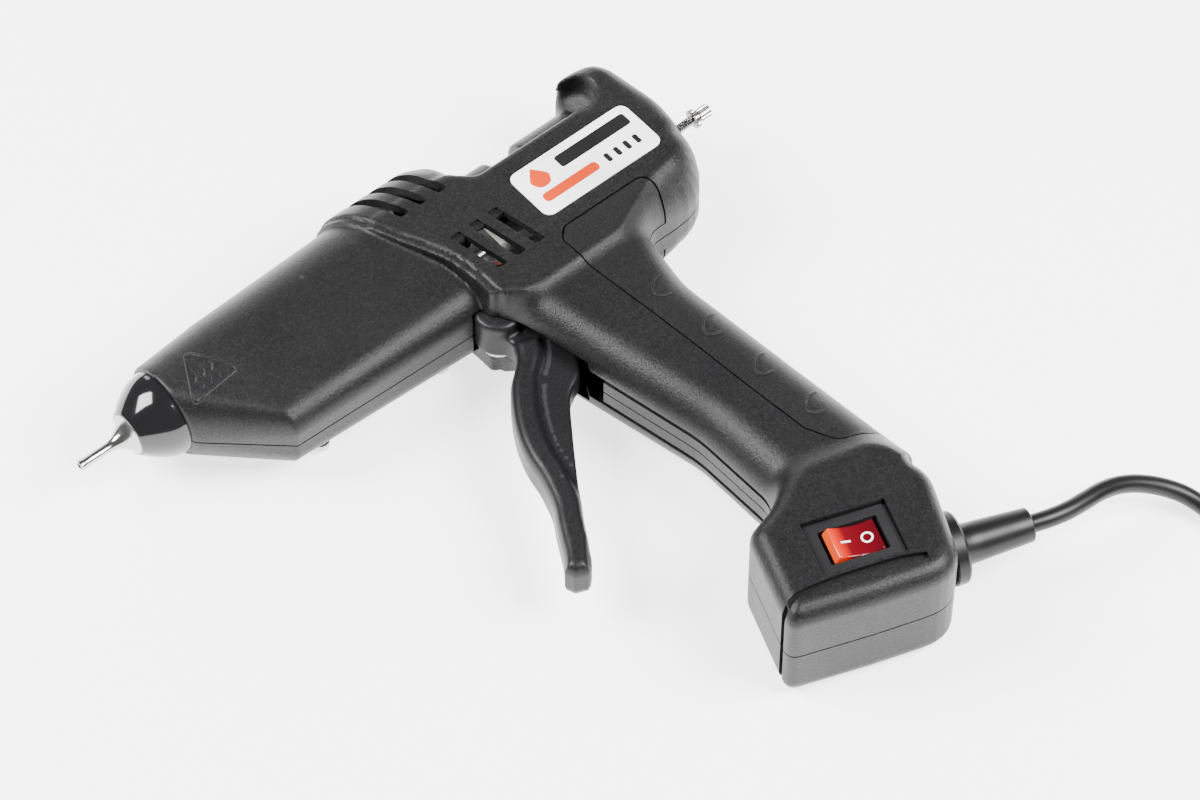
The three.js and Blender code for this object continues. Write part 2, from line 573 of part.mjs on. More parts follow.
// The wound length, its tie, and the lead's last stretch up to the plug that lies on it.
function addCord() {
  addGeometry('cord_lead', tube(RUN, CORD_R, 8, 16), RUBBER);
  const { x, y, turnR, halfWidth, halfHeight } = COIL;
  const ringOf = (grow, low) => {
    const section = arc(0, 0, 1, 0, 360, 12)
      .map(([u, v]) => new THREE.Vector2(turnR + (halfWidth + grow) * u, (halfHeight + grow) * v));
    const geometry = new THREE.LatheGeometry(section, 28);
    geometry.rotateX(Math.PI / 2);
    return placed(geometry, x, y, low + halfHeight - HALF_WIDTH);
  };
  const coil = ringOf(0, 0);
  add('cord_coil', coil, RUBBER);
  const strap = box(x + 10, x + 60, y - 3, y + 3, 0.4 - HALF_WIDTH, 5);
  add('cord_tie', cut(ringOf(1.4, 0), ringOf(GAP, 0)).intersect(strap), GLOSS_BLACK);
  const end = [
    coilPoint(5, 29.4, 18.2), coilPoint(-4, 28.8, 18.6), coilPoint(-12.5, 25.6, 20),
    coilPoint(-18.8, 19.8, 21.5), coilPoint(-21.9, 13.9, 22.1),
  ];
  addGeometry('cord_end', tube(end, CORD_R, 10, 6), RUBBER);
}

// A flat two-pin plug, which lies on the coil.
function addPlug() {
  const { x, y, low, thick } = { x: COIL.x - 22, y: COIL.y, low: 15.3 - HALF_WIDTH, thick: 13.6 };
  const outline = [[-17.6, -28], [17.6, -28], [17.6, -14], [7, 6], [-7, 6], [-17.6, -14]];
  const body = plate(outline.map(([u, v]) => [x + u, y + v]), low, low + thick, 2.4);
  const neck = new THREE.CylinderGeometry(3.6, 4.8, 9, 16);
  add('plug_body', join(body, placed(neck, x, y + 8, low + thick / 2)), RUBBER);
  for (const [i, side] of [-1, 1].entries()) {
    const pin = new THREE.CylinderGeometry(2, 2, 19, 14);
    add(`plug_pin_${i + 1}`, placed(pin, x + side * 9.5, y - 28.3 - 9.5, low + thick / 2), NICKEL);
  }
}

addHousing();
addNose();
addHotEnd();
addTrigger();
addFeed();
addStrokeScrew();
addSwitch();
addWiring();
addCordGrip();
addCord();
addPlug();

gun.position.set(-ORIGIN.x, -ORIGIN.y, HALF_WIDTH);

export default gun;
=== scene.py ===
"""A 12 mm hot-melt glue gun lying on its right side, with its mains lead.

The sculpted pieces are worked out in millimetres in the gun's own frame (X from nozzle to
rear along the glue stick, Y up towards the body's top, Z towards its left side, the seam of
the shells at z = 0) and put into the CAD frame, in metres, by place().
"""
import math

import bmesh
import bpy
import numpy as np
from mathutils import Matrix, Vector


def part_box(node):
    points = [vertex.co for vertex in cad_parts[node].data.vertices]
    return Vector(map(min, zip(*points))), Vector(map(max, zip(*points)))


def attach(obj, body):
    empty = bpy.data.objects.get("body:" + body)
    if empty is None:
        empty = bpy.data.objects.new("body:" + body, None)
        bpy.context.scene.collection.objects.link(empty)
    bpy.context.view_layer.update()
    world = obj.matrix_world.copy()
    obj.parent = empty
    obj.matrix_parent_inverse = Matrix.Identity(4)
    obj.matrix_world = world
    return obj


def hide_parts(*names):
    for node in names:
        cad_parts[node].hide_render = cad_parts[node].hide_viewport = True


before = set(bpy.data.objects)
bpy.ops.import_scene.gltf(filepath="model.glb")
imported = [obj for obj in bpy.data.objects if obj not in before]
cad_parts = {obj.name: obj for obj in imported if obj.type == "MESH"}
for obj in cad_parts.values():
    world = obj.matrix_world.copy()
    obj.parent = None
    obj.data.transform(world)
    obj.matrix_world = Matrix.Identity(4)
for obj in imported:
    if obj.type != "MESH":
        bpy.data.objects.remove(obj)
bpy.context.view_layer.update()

# ---- Driving dimensions, in millimetres ------------------------------------------------
TIP_X = -29.3                  # nozzle tip
PIVOT = (91.0, -38.0)          # trigger pivot
HALF_WIDTH = 19.5              # seam to flat side, and the seam's height over the floor
WALL = 2.4
GRID = 0.7
BULGE_R = 20.0                 # round shoulders behind the barrel
HOOD_R = 9.2                   # half-tube over the stick
DECK_Y = -2.9                  # flat top of the body
REAR_X = 172.0
CHANNEL_R = 6.9                # channel of the glue stick
SCREW_Y = -16.2                # axis of the stroke screw
TILT = math.radians(-20)       # lean of the foot
FOOT = (80.0, -176.0)          # origin of the foot's own frame: along its base, and up
FOOT_LENGTH = 51.0
FOOT_ALONG = (math.cos(TILT), math.sin(TILT), 0)
SWITCH_ALONG, SWITCH_UP = 25.3, 18.9
SWITCH_LENGTH, SWITCH_WIDTH = 24.3, 17.4
EXIT_UP = 18.0                 # the lead leaves the foot's end here
SLEEVE_START, SLEEVE_LENGTH = 54.2, 24.0
CORD_R = 2.7
COIL_X, COIL_Y = 253.0, -238.0


def _shift():
    """The gun frame's offset in the CAD frame, read from two CAD nodes."""
    tip_low, tip_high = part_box("nozzle")
    pin_low, pin_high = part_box("trigger_pin")
    return Vector((
        tip_low[0] * 1000 - TIP_X,
        (pin_low[1] + pin_high[1]) * 500 - PIVOT[1],
        (tip_low[2] + tip_high[2]) * 500,
    ))


SHIFT = _shift()


def place(x, y, z=0.0):
    """A point of the gun's frame, in millimetres, as a point of the CAD frame, in metres."""
    return Vector((x + SHIFT.x, y + SHIFT.y, z + SHIFT.z)) / 1000


def foot_point(along, up):
    """X and Y of a point given along and up the foot."""
    c, s = FOOT_ALONG[:2]
    return FOOT[0] + along * c - up * s, FOOT[1] + along * s + up * c


# ---- Camera and light -------------------------------------------------------------------
VIEW_AZIMUTH = math.radians(-40.27)
VIEW_ELEVATION = math.radians(53.87)
VIEW_DISTANCE = 1.407          # metres
VIEW_AIM = (95.5, -77.5, 1.9)
LENS = 150
WORLD_STRENGTH = 0.25
FLOOR_REACH = 4                # metres, each way
FLOOR_GLOW = 2.4
SOFTBOXES = {                  # place and size in metres, watts
    "left_box": ((-0.66, 0.56, 0.95), (0.6, 0.6), 44),
    "right_box": ((0.5, -0.68, 1.0), (0.6, 0.6), 50),
    "back_box": ((0.5, 0.9, 0.35), (0.9, 0.35), 5),
}


def add_camera():
    back = Vector((
        math.sin(VIEW_AZIMUTH) * math.cos(VIEW_ELEVATION),
        -math.cos(VIEW_AZIMUTH) * math.cos(VIEW_ELEVATION),
        math.sin(VIEW_ELEVATION),
    ))
    data = bpy.data.cameras.new("camera")
    data.lens = LENS
    data.sensor_width = 36
    data.clip_end = 20
    camera = bpy.data.objects.new("camera", data)
    camera.location = place(*VIEW_AIM) + back * VIEW_DISTANCE
    camera.rotation_euler = back.to_track_quat("Z", "Y").to_euler()
    bpy.context.collection.objects.link(camera)
    bpy.context.scene.camera = camera


def add_softbox(name, location, size, power):
    """A rectangular light that faces the origin."""
    data = bpy.data.lights.new(name, "AREA")
    data.shape = "RECTANGLE"
    data.size, data.size_y = size
    data.energy = power
    lamp = bpy.data.objects.new(name, data)
    lamp.location = location
    lamp.rotation_euler = Vector(location).to_track_quat("Z", "Y").to_euler()
    bpy.context.collection.objects.link(lamp)


def add_studio():
    world = bpy.data.worlds.new("studio")
    world.use_nodes = True
    background = world.node_tree.nodes["Background"]
    background.inputs["Color"].default_value = (1, 1, 1, 1)
    background.inputs["Strength"].default_value = WORLD_STRENGTH
    bpy.context.scene.world = world
    for name, (location, size, power) in SOFTBOXES.items():
        add_softbox(name, location, size, power)
    corners = [(x * FLOOR_REACH, y * FLOOR_REACH, 0) for x, y in ((-1, -1), (1, -1), (1, 1), (-1, 1))]
    floor_mesh = bpy.data.meshes.new("floor")
    floor_mesh.from_pydata(corners, [], [(0, 1, 2, 3)])
    floor = link("floor", floor_mesh)
    floor.data.materials.append(light_table())


# ---- Materials --------------------------------------------------------------------------
def new_material(name, colour, roughness, metallic=0.0, specular=0.5):
    material = bpy.data.materials.new(name)
    material.use_nodes = True
    shader = material.node_tree.nodes["Principled BSDF"]
    shader.inputs["Base Color"].default_value = (*colour, 1)
    shader.inputs["Roughness"].default_value = roughness
    shader.inputs["Metallic"].default_value = metallic
    shader.inputs["Specular IOR Level"].default_value = specular
    return material, material.node_tree, shader


def light_table():
    """A white floor that glows softly, as a product table lit from below does."""
    material, _, shader = new_material("floor_white", (0.9, 0.9, 0.9), 0.8, specular=0.2)
    shader.inputs["Emission Color"].default_value = (1, 1, 1, 1)
    shader.inputs["Emission Strength"].default_value = FLOOR_GLOW
    return material


def coordinates(tree):
    return tree.nodes.new("ShaderNodeTexCoord").outputs["Object"]


def noise(tree, scale, detail=2.0, rough=0.5):
    node = tree.nodes.new("ShaderNodeTexNoise")
    node.inputs["Scale"].default_value = scale
    node.inputs["Detail"].default_value = detail
    node.inputs["Roughness"].default_value = rough
    tree.links.new(coordinates(tree), node.inputs["Vector"])
    return node.outputs["Fac"]


def ramp(tree, source, stops):
    node = tree.nodes.new("ShaderNodeValToRGB")
    tree.links.new(source, node.inputs["Fac"])
    elements = node.color_ramp.elements
    elements[0].position, elements[0].color = stops[0][0], (*stops[0][1], 1)
    elements[1].position, elements[1].color = stops[-1][0], (*stops[-1][1], 1)
    for position, colour in stops[1:-1]:
        elements.new(position).color = (*colour, 1)
    return node.outputs["Color"]


def bump(tree, source, shader, strength, distance):
    node = tree.nodes.new("ShaderNodeBump")
    node.inputs["Strength"].default_value = strength
    node.inputs["Distance"].default_value = distance
    tree.links.new(source, node.inputs["Height"])
    tree.links.new(node.outputs["Normal"], shader.inputs["Normal"])


def map_range(tree, source, to_min=0.0, to_max=1.0, from_min=0.0, from_max=1.0):
    node = tree.nodes.new("ShaderNodeMapRange")
    node.inputs["From Min"].default_value = from_min
    node.inputs["From Max"].default_value = from_max
    node.inputs["To Min"].default_value = to_min
    node.inputs["To Max"].default_value = to_max
    tree.links.new(source, node.inputs["Value"])
    return node.outputs["Result"]


def convex_edge_sheen_mask(tree, low, high):
    """A mask that is 1 on convex edges, from Geometry's pointiness, used for a painted highlight."""
    pointiness = tree.nodes.new("ShaderNodeNewGeometry").outputs["Pointiness"]
    return map_range(tree, pointiness, from_min=low, from_max=high)


def vary_roughness(tree, shader, source, low, high):
    tree.links.new(map_range(tree, source, low, high), shader.inputs["Roughness"])


def scaled(colour, factor):
    return tuple(c * factor for c in colour)


def mix_colours(tree, factor, first, second):
    node = tree.nodes.new("ShaderNodeMix")
    node.data_type = "RGBA"
    tree.links.new(factor, node.inputs["Factor"])
    for socket, value in (("A", first), ("B", second)):
        target = [i for i in node.inputs if i.name == socket and i.type == "RGBA"][0]
        if isinstance(value, tuple):
            target.default_value = (*value, 1)
        else:
            tree.links.new(value, target)
    return [o for o in node.outputs if o.type == "RGBA"][0]


def textured_plastic(name, dark, light, roughness, grain=1500, depth=0.00022):
    """Moulded plastic with a spark-eroded grain, and paler convex edges that are a painted sheen."""
    material, tree, shader = new_material(name, dark, roughness, specular=0.24)
    grains = noise(tree, grain, 3, 0.7)
    middle = tuple(0.5 * (a + b) for a, b in zip(dark, light))
    speckle = ramp(tree, grains, [(0.42, dark), (0.58, middle), (0.70, light)])
    # convex edges painted paler than the grain: a painted highlight that stands in for sheen
    speckle_and_sheen = mix_colours(tree, convex_edge_sheen_mask(tree, 0.53, 0.62), speckle, scaled(light, 1.5))
    tree.links.new(speckle_and_sheen, shader.inputs["Base Color"])
    vary_roughness(tree, shader, noise(tree, 60, 3), roughness - 0.05, roughness + 0.07)
    bump(tree, grains, shader, 0.75, depth)
    return material


def smooth_plastic(name, colour, roughness, specular=0.5, coat=0.0):
    """Polished plastic, rubber or print: a faint unevenness in colour, gloss and surface."""
    material, tree, shader = new_material(name, colour, roughness, specular=specular)
    shader.inputs["Coat Weight"].default_value = coat
    vary_roughness(tree, shader, noise(tree, 120, 4), roughness * 0.8, roughness * 1.35)
    tint = ramp(tree, noise(tree, 45, 2), [(0.3, scaled(colour, 0.85)), (0.7, scaled(colour, 1.1))])
    tree.links.new(tint, shader.inputs["Base Color"])
    bump(tree, noise(tree, 700, 2), shader, 0.08, 0.00005)
    return material


def metal(name, colour, roughness, brushed=0.0):
    """Metal with a faint tint and fine marks, deeper where it is brushed."""
    material, tree, shader = new_material(name, colour, roughness, metallic=1.0)
    tint = ramp(tree, noise(tree, 90, 3), [(0.3, scaled(colour, 0.86)), (0.7, colour)])
    tree.links.new(tint, shader.inputs["Base Color"])
    vary_roughness(tree, shader, noise(tree, 500, 3), roughness * 0.7, roughness * 1.4)
    bump(tree, noise(tree, 1500, 2), shader, 0.05 + brushed, 0.00004)
    return material


# ---- Mesh tools -------------------------------------------------------------------------
def link(name, mesh):
    thing = bpy.data.objects.new(name, mesh)
    bpy.context.collection.objects.link(thing)
    return thing


def mesh_from(name, points, faces):
    """An object from points in the gun's millimetres."""
    mesh = bpy.data.meshes.new(name)
    mesh.from_pydata([place(*p) for p in points], [], faces)
    mesh.update()
    return link(name, mesh)


def finish_piece(thing, key, angle=35, replaces=(), body="housing"):
    """Smooth shading with sharp edges, a material, and what the frame needs to know."""
    mesh = thing.data
    mesh.materials.clear()
    mesh.materials.append(MATERIALS[key])
    mesh.shade_smooth()
    mesh.set_sharp_from_angle(angle=math.radians(angle))
    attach(thing, body)
    if replaces:
        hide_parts(*replaces)
    return thing


def signed_area(points):
    """Twice the outline's area, positive where it runs anticlockwise."""
    return sum(a[0] * b[1] - b[0] * a[1] for a, b in zip(points, points[1:] + points[:1]))


def ring_faces(rings, sides):
    """The faces of a closed solid whose points are rings, one after the other."""
    faces = [list(range(sides))[::-1], list(range((rings - 1) * sides, rings * sides))]
    for r in range(rings - 1):
        for i in range(sides):
            j = (i + 1) % sides
            faces.append([r * sides + i, r * sides + j, (r + 1) * sides + j, (r + 1) * sides + i])
    return faces


def ring_solid(name, points, sides):
    """A solid from rings of points, with flat ends."""
    thing = mesh_from(name, points, ring_faces(len(points) // sides, sides))
    recalculate(thing)
    return thing


def prism(points, z0, z1, name="tool"):
    """A flat outline in X and Y as a closed solid between two heights."""
    if signed_area(points) < 0:
        points = points[::-1]
    vertices = [(x, y, z) for z in (z0, z1) for x, y in points]
    return mesh_from(name, vertices, ring_faces(2, len(points)))


def block(x0, x1, y0, y1, z0, z1):
    return prism([(x0, y0), (x1, y0), (x1, y1), (x0, y1)], z0, z1)


def foot_block(a0, a1, u0, u1, z0, z1):
    """A block along and up the foot."""
    corners = [foot_point(a, u) for a, u in ((a0, u0), (a1, u0), (a1, u1), (a0, u1))]
    return prism(corners, z0, z1)


def circle(cx, cy, radius, sides=48, start=0.0, sweep=360.0):
    steps = sides if sweep == 360 else sides + 1
    angles = [math.radians(start + sweep * i / sides) for i in range(steps)]
    return [(cx + radius * math.cos(a), cy + radius * math.sin(a)) for a in angles]


def lathe(name, profile, centre=(0, 0, 0), axis=(1, 0, 0), sides=64):
    """A turned solid: profile points are (distance along the axis, radius), and they close on
    themselves or end on the axis."""
    along = Vector(axis).normalized()
    side = along.orthogonal().normalized()
    up = along.cross(side)
    origin = Vector(centre)
    points, faces, rings = [], [], []
    for distance, radius in profile:
        if radius < 1e-6:
            rings.append([len(points)])
            points.append(origin + along * distance)
            continue
        rings.append(list(range(len(points), len(points) + sides)))
        for i in range(sides):
            a = 2 * math.pi * i / sides
            points.append(origin + along * distance + side * radius * math.cos(a) + up * radius * math.sin(a))
    closed = profile[0][1] > 1e-6 and profile[-1][1] > 1e-6
    following = rings[1:] + rings[:1] if closed else rings[1:]
    for first, second in zip(rings, following):
        for i in range(sides):
            j = (i + 1) % sides
            if len(first) == 1 and len(second) == 1:
                continue
            if len(first) == 1:
                faces.append([first[0], second[j], second[i]])
            elif len(second) == 1:
                faces.append([first[i], first[j], second[0]])
            else:
                faces.append([first[i], first[j], second[j], second[i]])
    thing = mesh_from(name, points, faces)
    recalculate(thing)
    return thing


def recalculate(thing):
    bm = bmesh.new()
    bm.from_mesh(thing.data)
    bmesh.ops.recalc_face_normals(bm, faces=bm.faces)
    bm.to_mesh(thing.data)
    bm.free()


def bake(thing):
    """Applies the modifiers."""
    bpy.context.view_layer.update()
    graph = bpy.context.evaluated_depsgraph_get()
    mesh = bpy.data.meshes.new_from_object(thing.evaluated_get(graph))
    thing.modifiers.clear()
    thing.data = mesh
    return thing


def discard(things):
    for thing in things:
        mesh = thing.data
        bpy.data.objects.remove(thing)
        bpy.data.meshes.remove(mesh)


def combine(target, tools, operation="DIFFERENCE"):
    """Cuts, joins or intersects the target with each tool, and discards the tools."""
    for tool in tools:
        modifier = target.modifiers.new("combine", "BOOLEAN")
        modifier.solver = "MANIFOLD"
        modifier.operation = operation
        modifier.object = tool
    bake(target)
    discard(tools)
    return target


def copy_of(thing, name):
    return link(name, thing.data.copy())


def mirror_copy(thing, name):
    """The same piece on the other side of the seam."""
    other = copy_of(thing, name)
    back = Matrix.Translation((0, 0, 2 * SHIFT.z / 1000))
    other.data.transform(back @ Matrix.Scale(-1, 4, (0, 0, 1)))
    other.data.flip_normals()
    return other


def bevel(thing, width, segments=2, angle=40):
    modifier = thing.modifiers.new("bevel", "BEVEL")
    modifier.width = width / 1000
    modifier.segments = segments
    modifier.limit_method = "ANGLE"
    modifier.angle_limit = math.radians(angle)
    return bake(thing)


# ---- Signed distances, in millimetres ---------------------------------------------------
def soft_min(a, b, k):
    """The smaller of two distances, with a blend about k wide where they meet."""
    h = np.clip(0.5 + 0.5 * (b - a) / k, 0, 1)
    return b * (1 - h) + a * h - k * h * (1 - h)


def soft_max(a, b, k):
    return -soft_min(-a, -b, k)


def eased(t, keys, values, window=14.0):
    """Straight stretches between keys, with their corners rounded over a window."""
    step = 0.5
    fine = np.arange(keys[0] - window, keys[-1] + window, step)
    line = np.interp(fine, keys, values)
    width = int(window / step) | 1
    kernel = np.hanning(width + 2)[1:-1]
    smooth = np.convolve(np.pad(line, width // 2, mode="edge"), kernel / kernel.sum(), mode="valid")
    return np.interp(t, fine, smooth)


def two_circles(u, v, u0, v0, r0, u1, v1, r1):
    """Distance to the hull of two circles in a plane."""
    du, dv = u1 - u0, v1 - v0
    length = np.maximum(np.hypot(du, dv), 1e-6)
    along = ((u - u0) * du + (v - v0) * dv) / length
    across = np.abs((u - u0) * dv - (v - v0) * du) / length
    slope = np.clip((r0 - r1) / length, -0.999, 0.999)
    cosine = np.sqrt(1 - slope**2)
    k = along * cosine - across * slope
    side = across * cosine + along * slope - r0
    start = np.hypot(across, along) - r0
    end = np.hypot(across, along - length) - r1
    return np.where(k < 0, start, np.where(k > cosine * length, end, side))


def polygon(x, y, points):
    """Distance to an outline in X and Y, below zero inside."""
    best, inside = np.inf, False
    for (ax, ay), (bx, by) in zip(points, points[1:] + points[:1]):
        ex, ey = bx - ax, by - ay
        wx, wy = x - ax, y - ay
        t = np.clip((wx * ex + wy * ey) / (ex * ex + ey * ey), 0, 1)
        best = np.minimum(best, (wx - ex * t) ** 2 + (wy - ey * t) ** 2)
        crosses = ((ay > y) != (by > y)) & (wx < ex * wy / (ey if ey else 1e-9))
        inside = inside ^ crosses
    return np.where(inside, -1, 1) * np.sqrt(best)


def fillet(corners, steps=6):
    """An outline from (x, y, radius) corners."""
    points = []
    n = len(corners)
    for i, (x, y, radius) in enumerate(corners):
        here = np.array((x, y), float)
        before = np.array(corners[i - 1][:2], float) - here
        after = np.array(corners[(i + 1) % n][:2], float) - here
        if radius <= 0:
            points.append((x, y))
            continue
        p, q = before / np.linalg.norm(before), after / np.linalg.norm(after)
        half = math.acos(np.clip(p @ q, -1, 1)) / 2
        reach = min(radius / math.tan(half), 0.49 * np.linalg.norm(before), 0.49 * np.linalg.norm(after))
        start, end = here + p * reach, here + q * reach
        for j in range(steps + 1):
            t = j / steps
            point = (1 - t) ** 2 * start + 2 * t * (1 - t) * here + t * t * end
            points.append((float(point[0]), float(point[1])))
    return [p for p, q in zip(points, points[1:] + points[:1]) if math.dist(p, q) > 1e-4]


def slab(flat, z, half, rim):
    """A flat outline thickened to +-half, with its rims rounded."""
    a, b = flat + rim, np.abs(z) - (half - rim)
    return np.minimum(np.maximum(a, b), 0) + np.hypot(np.maximum(a, 0), np.maximum(b, 0)) - rim


def net(field, low, step):
    """A closed quad mesh on the zero level of a grid of distances."""
    inside = field < 0
    shape = np.array(field.shape) - 1
    corners = [(i, j, k) for i in (0, 1) for j in (0, 1) for k in (0, 1)]
    count = np.zeros(shape, np.uint8)
    for i, j, k in corners:
        count += inside[i:shape[0] + i, j:shape[1] + j, k:shape[2] + k]
    cells = np.argwhere((count > 0) & (count < 8))
    index = np.full(shape, -1, np.int64)
    index[tuple(cells.T)] = np.arange(len(cells))
    total, hits = np.zeros((len(cells), 3)), np.zeros(len(cells))
    for axis in range(3):
        unit = np.eye(3, dtype=int)[axis]
        for corner in corners:
            if corner[axis]:
                continue
            first = cells + corner
            f0, f1 = field[tuple(first.T)], field[tuple((first + unit).T)]
            crossing = (f0 < 0) != (f1 < 0)
            t = f0 / np.where(crossing, f0 - f1, 1)
            total += np.where(crossing[:, None], first + t[:, None] * unit, 0)
            hits += crossing
    points = low + step * total / hits[:, None]
    quads = []
    for axis in range(3):
        u, v = np.eye(3, dtype=int)[(axis + 1) % 3], np.eye(3, dtype=int)[(axis + 2) % 3]
        unit = np.eye(3, dtype=int)[axis]
        window = [slice(0, -1) if a == axis else slice(1, -1) for a in range(3)]
        ahead = [slice(1, None) if a == axis else slice(1, -1) for a in range(3)]
        first, second = inside[tuple(window)], inside[tuple(ahead)]
        edges = np.argwhere(first != second) + (u + v)
        outward = inside[tuple(edges.T)]
        ring = [index[tuple((edges - d).T)] for d in (u + v, v, 0 * u, u)]
        quad = np.stack(ring, 1)
        quads.append(np.where(outward[:, None], quad, quad[:, ::-1]))
    return points, np.concatenate(quads)


def sculpt(name, shape_distance, low, high, step=GRID):
    """A mesh of the surface where the distance is zero, closed at the sides of the given box."""
    low, high = np.array(low, float), np.array(high, float)
    axes = [np.arange(low[i] - step, high[i] + 2 * step, step) for i in range(3)]

    def distance(x, y, z):
        sides = np.maximum(np.maximum(low[0] - x, x - high[0]), np.maximum(low[1] - y, y - high[1]))
        ends = np.maximum(low[2] - z, z - high[2])
        return np.maximum(shape_distance(x, y, z), np.maximum(sides, ends))

    field = distance(axes[0][:, None, None], axes[1][None, :, None], axes[2][None, None, :])
    points, quads = net(np.broadcast_to(field, [len(a) for a in axes]), low - step, step)
    small = 0.05
    for _ in range(2):
        d = distance(*points.T)
        slope = np.stack([(distance(*(points + small * unit).T) - d) / small for unit in np.eye(3)], 1)
        size = np.maximum((slope**2).sum(1), 0.25)
        move = np.clip(d / size, -step / 2, step / 2)
        points = points - slope * move[:, None]
    points = (points + np.array(SHIFT)) / 1000
    mesh = bpy.data.meshes.new(name)
    mesh.vertices.add(len(points))
    mesh.vertices.foreach_set("co", points.astype(np.float32).ravel())
    mesh.loops.add(quads.size)
    mesh.loops.foreach_set("vertex_index", quads.astype(np.int32).ravel())
    mesh.polygons.add(len(quads))
    mesh.polygons.foreach_set("loop_start", np.arange(0, quads.size, 4, dtype=np.int32))
    mesh.update(calc_edges=True)
    mesh.validate()
    return link(name, mesh)


# ---- Form of the housing ----------------------------------------------------------------
def barrel(x, y, z):
    """Round above, tapering below to two soft corners, with a chin that rises to the nose."""
    t = np.clip(x / 21.5, 0, 1)
    s = np.clip((x - 21.5) / 74.5, 0, 1)
    top = 14.2 + 1.7 * t + 2.7 * s
    low_y = -26 * t - 1.2 * s
    low_z = 4 * t + 1.5 * s
    low_r = 14.2 - 6.2 * t + 1.0 * s
    side = np.abs(z)
    round_part = two_circles(y, side, 0, 0, top, low_y, low_z, low_r)
    keel = np.maximum(np.maximum(side - low_z, low_y - low_r - y), y)
    section = np.minimum(round_part, keel)
    return soft_max(soft_max(section, -x, 0.9), x - 96, 1.0)


BODY_OUTLINE = fillet([
    (70, 3, 0), (106, 3, 4), (112, DECK_Y, 5), (165, DECK_Y, 2), (REAR_X, -14, 8),
    (REAR_X - 4, -44, 22), (136, -44, 3), (96, -44, 2), (70, -30, 0),
])
HORN_OUTLINE = fillet([
    (152.5, -32, 1), (152.5, 13, 5), (168, 13, 9), (REAR_X, -14, 30), (REAR_X - 2, -32, 4),
])
NOTCH_X, NOTCH_Y, NOTCH_R = 152.7, 2.5, 7.3    # the bite out of the horn's front
FRONT_Y = [-52, -31, -21, -14, -6, 6, 18, 26]
FRONT_X = [90.5, 90.5, 89, 86, 82, 77, 72, 68.5]


def front_line(y):
    """X of the step where the barrel leaves the body."""
    return eased(y, FRONT_Y, FRONT_X, 8)


def body_block(x, y, z):
    """The block behind the barrel, its round shoulders, and the horn at the rear."""
    rim = 2.2 + 7.3 * np.clip((x - 0.45 * y - 151) / 16, 0, 1)
    rim = rim + 6 * np.clip((-y - 31) / 10, 0, 1) * np.clip((x - 141) / 15, 0, 1)
    main = slab(polygon(x, y, BODY_OUTLINE), z, HALF_WIDTH, rim)
    radius = np.hypot(y, z)
    fall = eased(x, [60, 99, 106, 110.5, 114, 120], [BULGE_R, BULGE_R, 17.5, 11.5, 5, 0], 5)
    bulge = np.maximum(soft_max(radius - fall, np.abs(z) - HALF_WIDTH, 2.5), x - 116)
    bulge = np.maximum(bulge * 0.8, -y - 12)
    horn_y, horn_z = np.abs(y + 9.2) - 11.2, np.abs(z) - 8.5
    outside = np.hypot(np.maximum(horn_y, 0), np.maximum(horn_z, 0))
    horn = outside + np.minimum(np.maximum(horn_y, horn_z), 0) - 11
    horn = soft_max(horn, polygon(x, y, HORN_OUTLINE), eased(x, [140, 158, 166, 180], [2.5, 2.5, 9, 9], 4))
    bite = NOTCH_R - np.hypot(x - NOTCH_X, y - NOTCH_Y)
    scoop = soft_min(bite, np.abs(z) - 8.0 - 0.5 * (x - NOTCH_X), 3)
    horn = soft_max(horn, np.where(y > DECK_Y - 4, scoop, -50), 1.0 + 2.5 * (np.abs(z) < 12))
    whole = soft_min(soft_min(main, bulge, 2.5), horn, 0.8)
    line = front_line(y)
    lip = soft_max(whole + 0.75, (line - 2.6 - x) * 0.92, 1.0)
    return np.minimum(soft_max(whole, (line - x) * 0.92, 1.0), lip)


GRIP_TOP, GRIP_FOOT = -34, -152
GRIP_Y = [GRIP_FOOT, -108, -66, GRIP_TOP]


def grip(x, y, z):
    """A handle whose section is the hull of a slim front and a full rear circle on each side."""
    front_x = eased(y, GRIP_Y, [119, 117, 107.5, 99.5])
    front_z = eased(y, GRIP_Y, [6, 5.5, 6.5, 9.3])
    front_r = eased(y, GRIP_Y, [12, 11, 10.5, 9.2])
    rear_x = eased(y, GRIP_Y, [132, 128.5, 124.5, 131])
    rear_z = eased(y, GRIP_Y, [3, 2.5, 3, 8])
    rear_r = eased(y, GRIP_Y, [14.8, 14, 13.5, 10.5])
    side = np.abs(z)
    skin = two_circles(x, side, front_x, front_z, front_r, rear_x, rear_z, rear_r)
    nose = np.maximum(np.maximum(side - front_z, front_x - front_r - x), x - front_x)
    back = np.maximum(np.maximum(side - rear_z, x - rear_x - rear_r), rear_x - x)
    core = np.maximum(np.maximum(front_x - x, x - rear_x), side - np.minimum(front_z, rear_z))
    section = np.minimum(np.minimum(skin, core), np.minimum(nose, back))
    return np.maximum(section, np.maximum(y - GRIP_TOP, GRIP_FOOT - y))


FOOT_OUTLINE = [foot_point(a, u) for a, u in fillet([
    (-1.2, -0.6, 4), (24, -1.0, 0), (FOOT_LENGTH - 0.3, -0.4, 12), (FOOT_LENGTH + 2.9, 33, 12),
    (45, 48, 12), (16, 45.5, 12), (7, 36.5, 8), (-0.9, 31.5, 6),
])]


def foot(x, y, z):
    """The block at the bottom that the gun's switch and lead are in."""
    return slab(polygon(x, y, FOOT_OUTLINE), z, HALF_WIDTH, 6.0)


def form(x, y, z):
    """The housing's smooth outer form, without its openings."""
    handle = soft_min(grip(x, y, z), foot(x, y, z), 7)
    upper = soft_min(body_block(x, y, z), handle, 6)
    whole = soft_min(upper, barrel(x, y, z), 1.0)
    return soft_max(whole, np.abs(z) - HALF_WIDTH, 0.5)


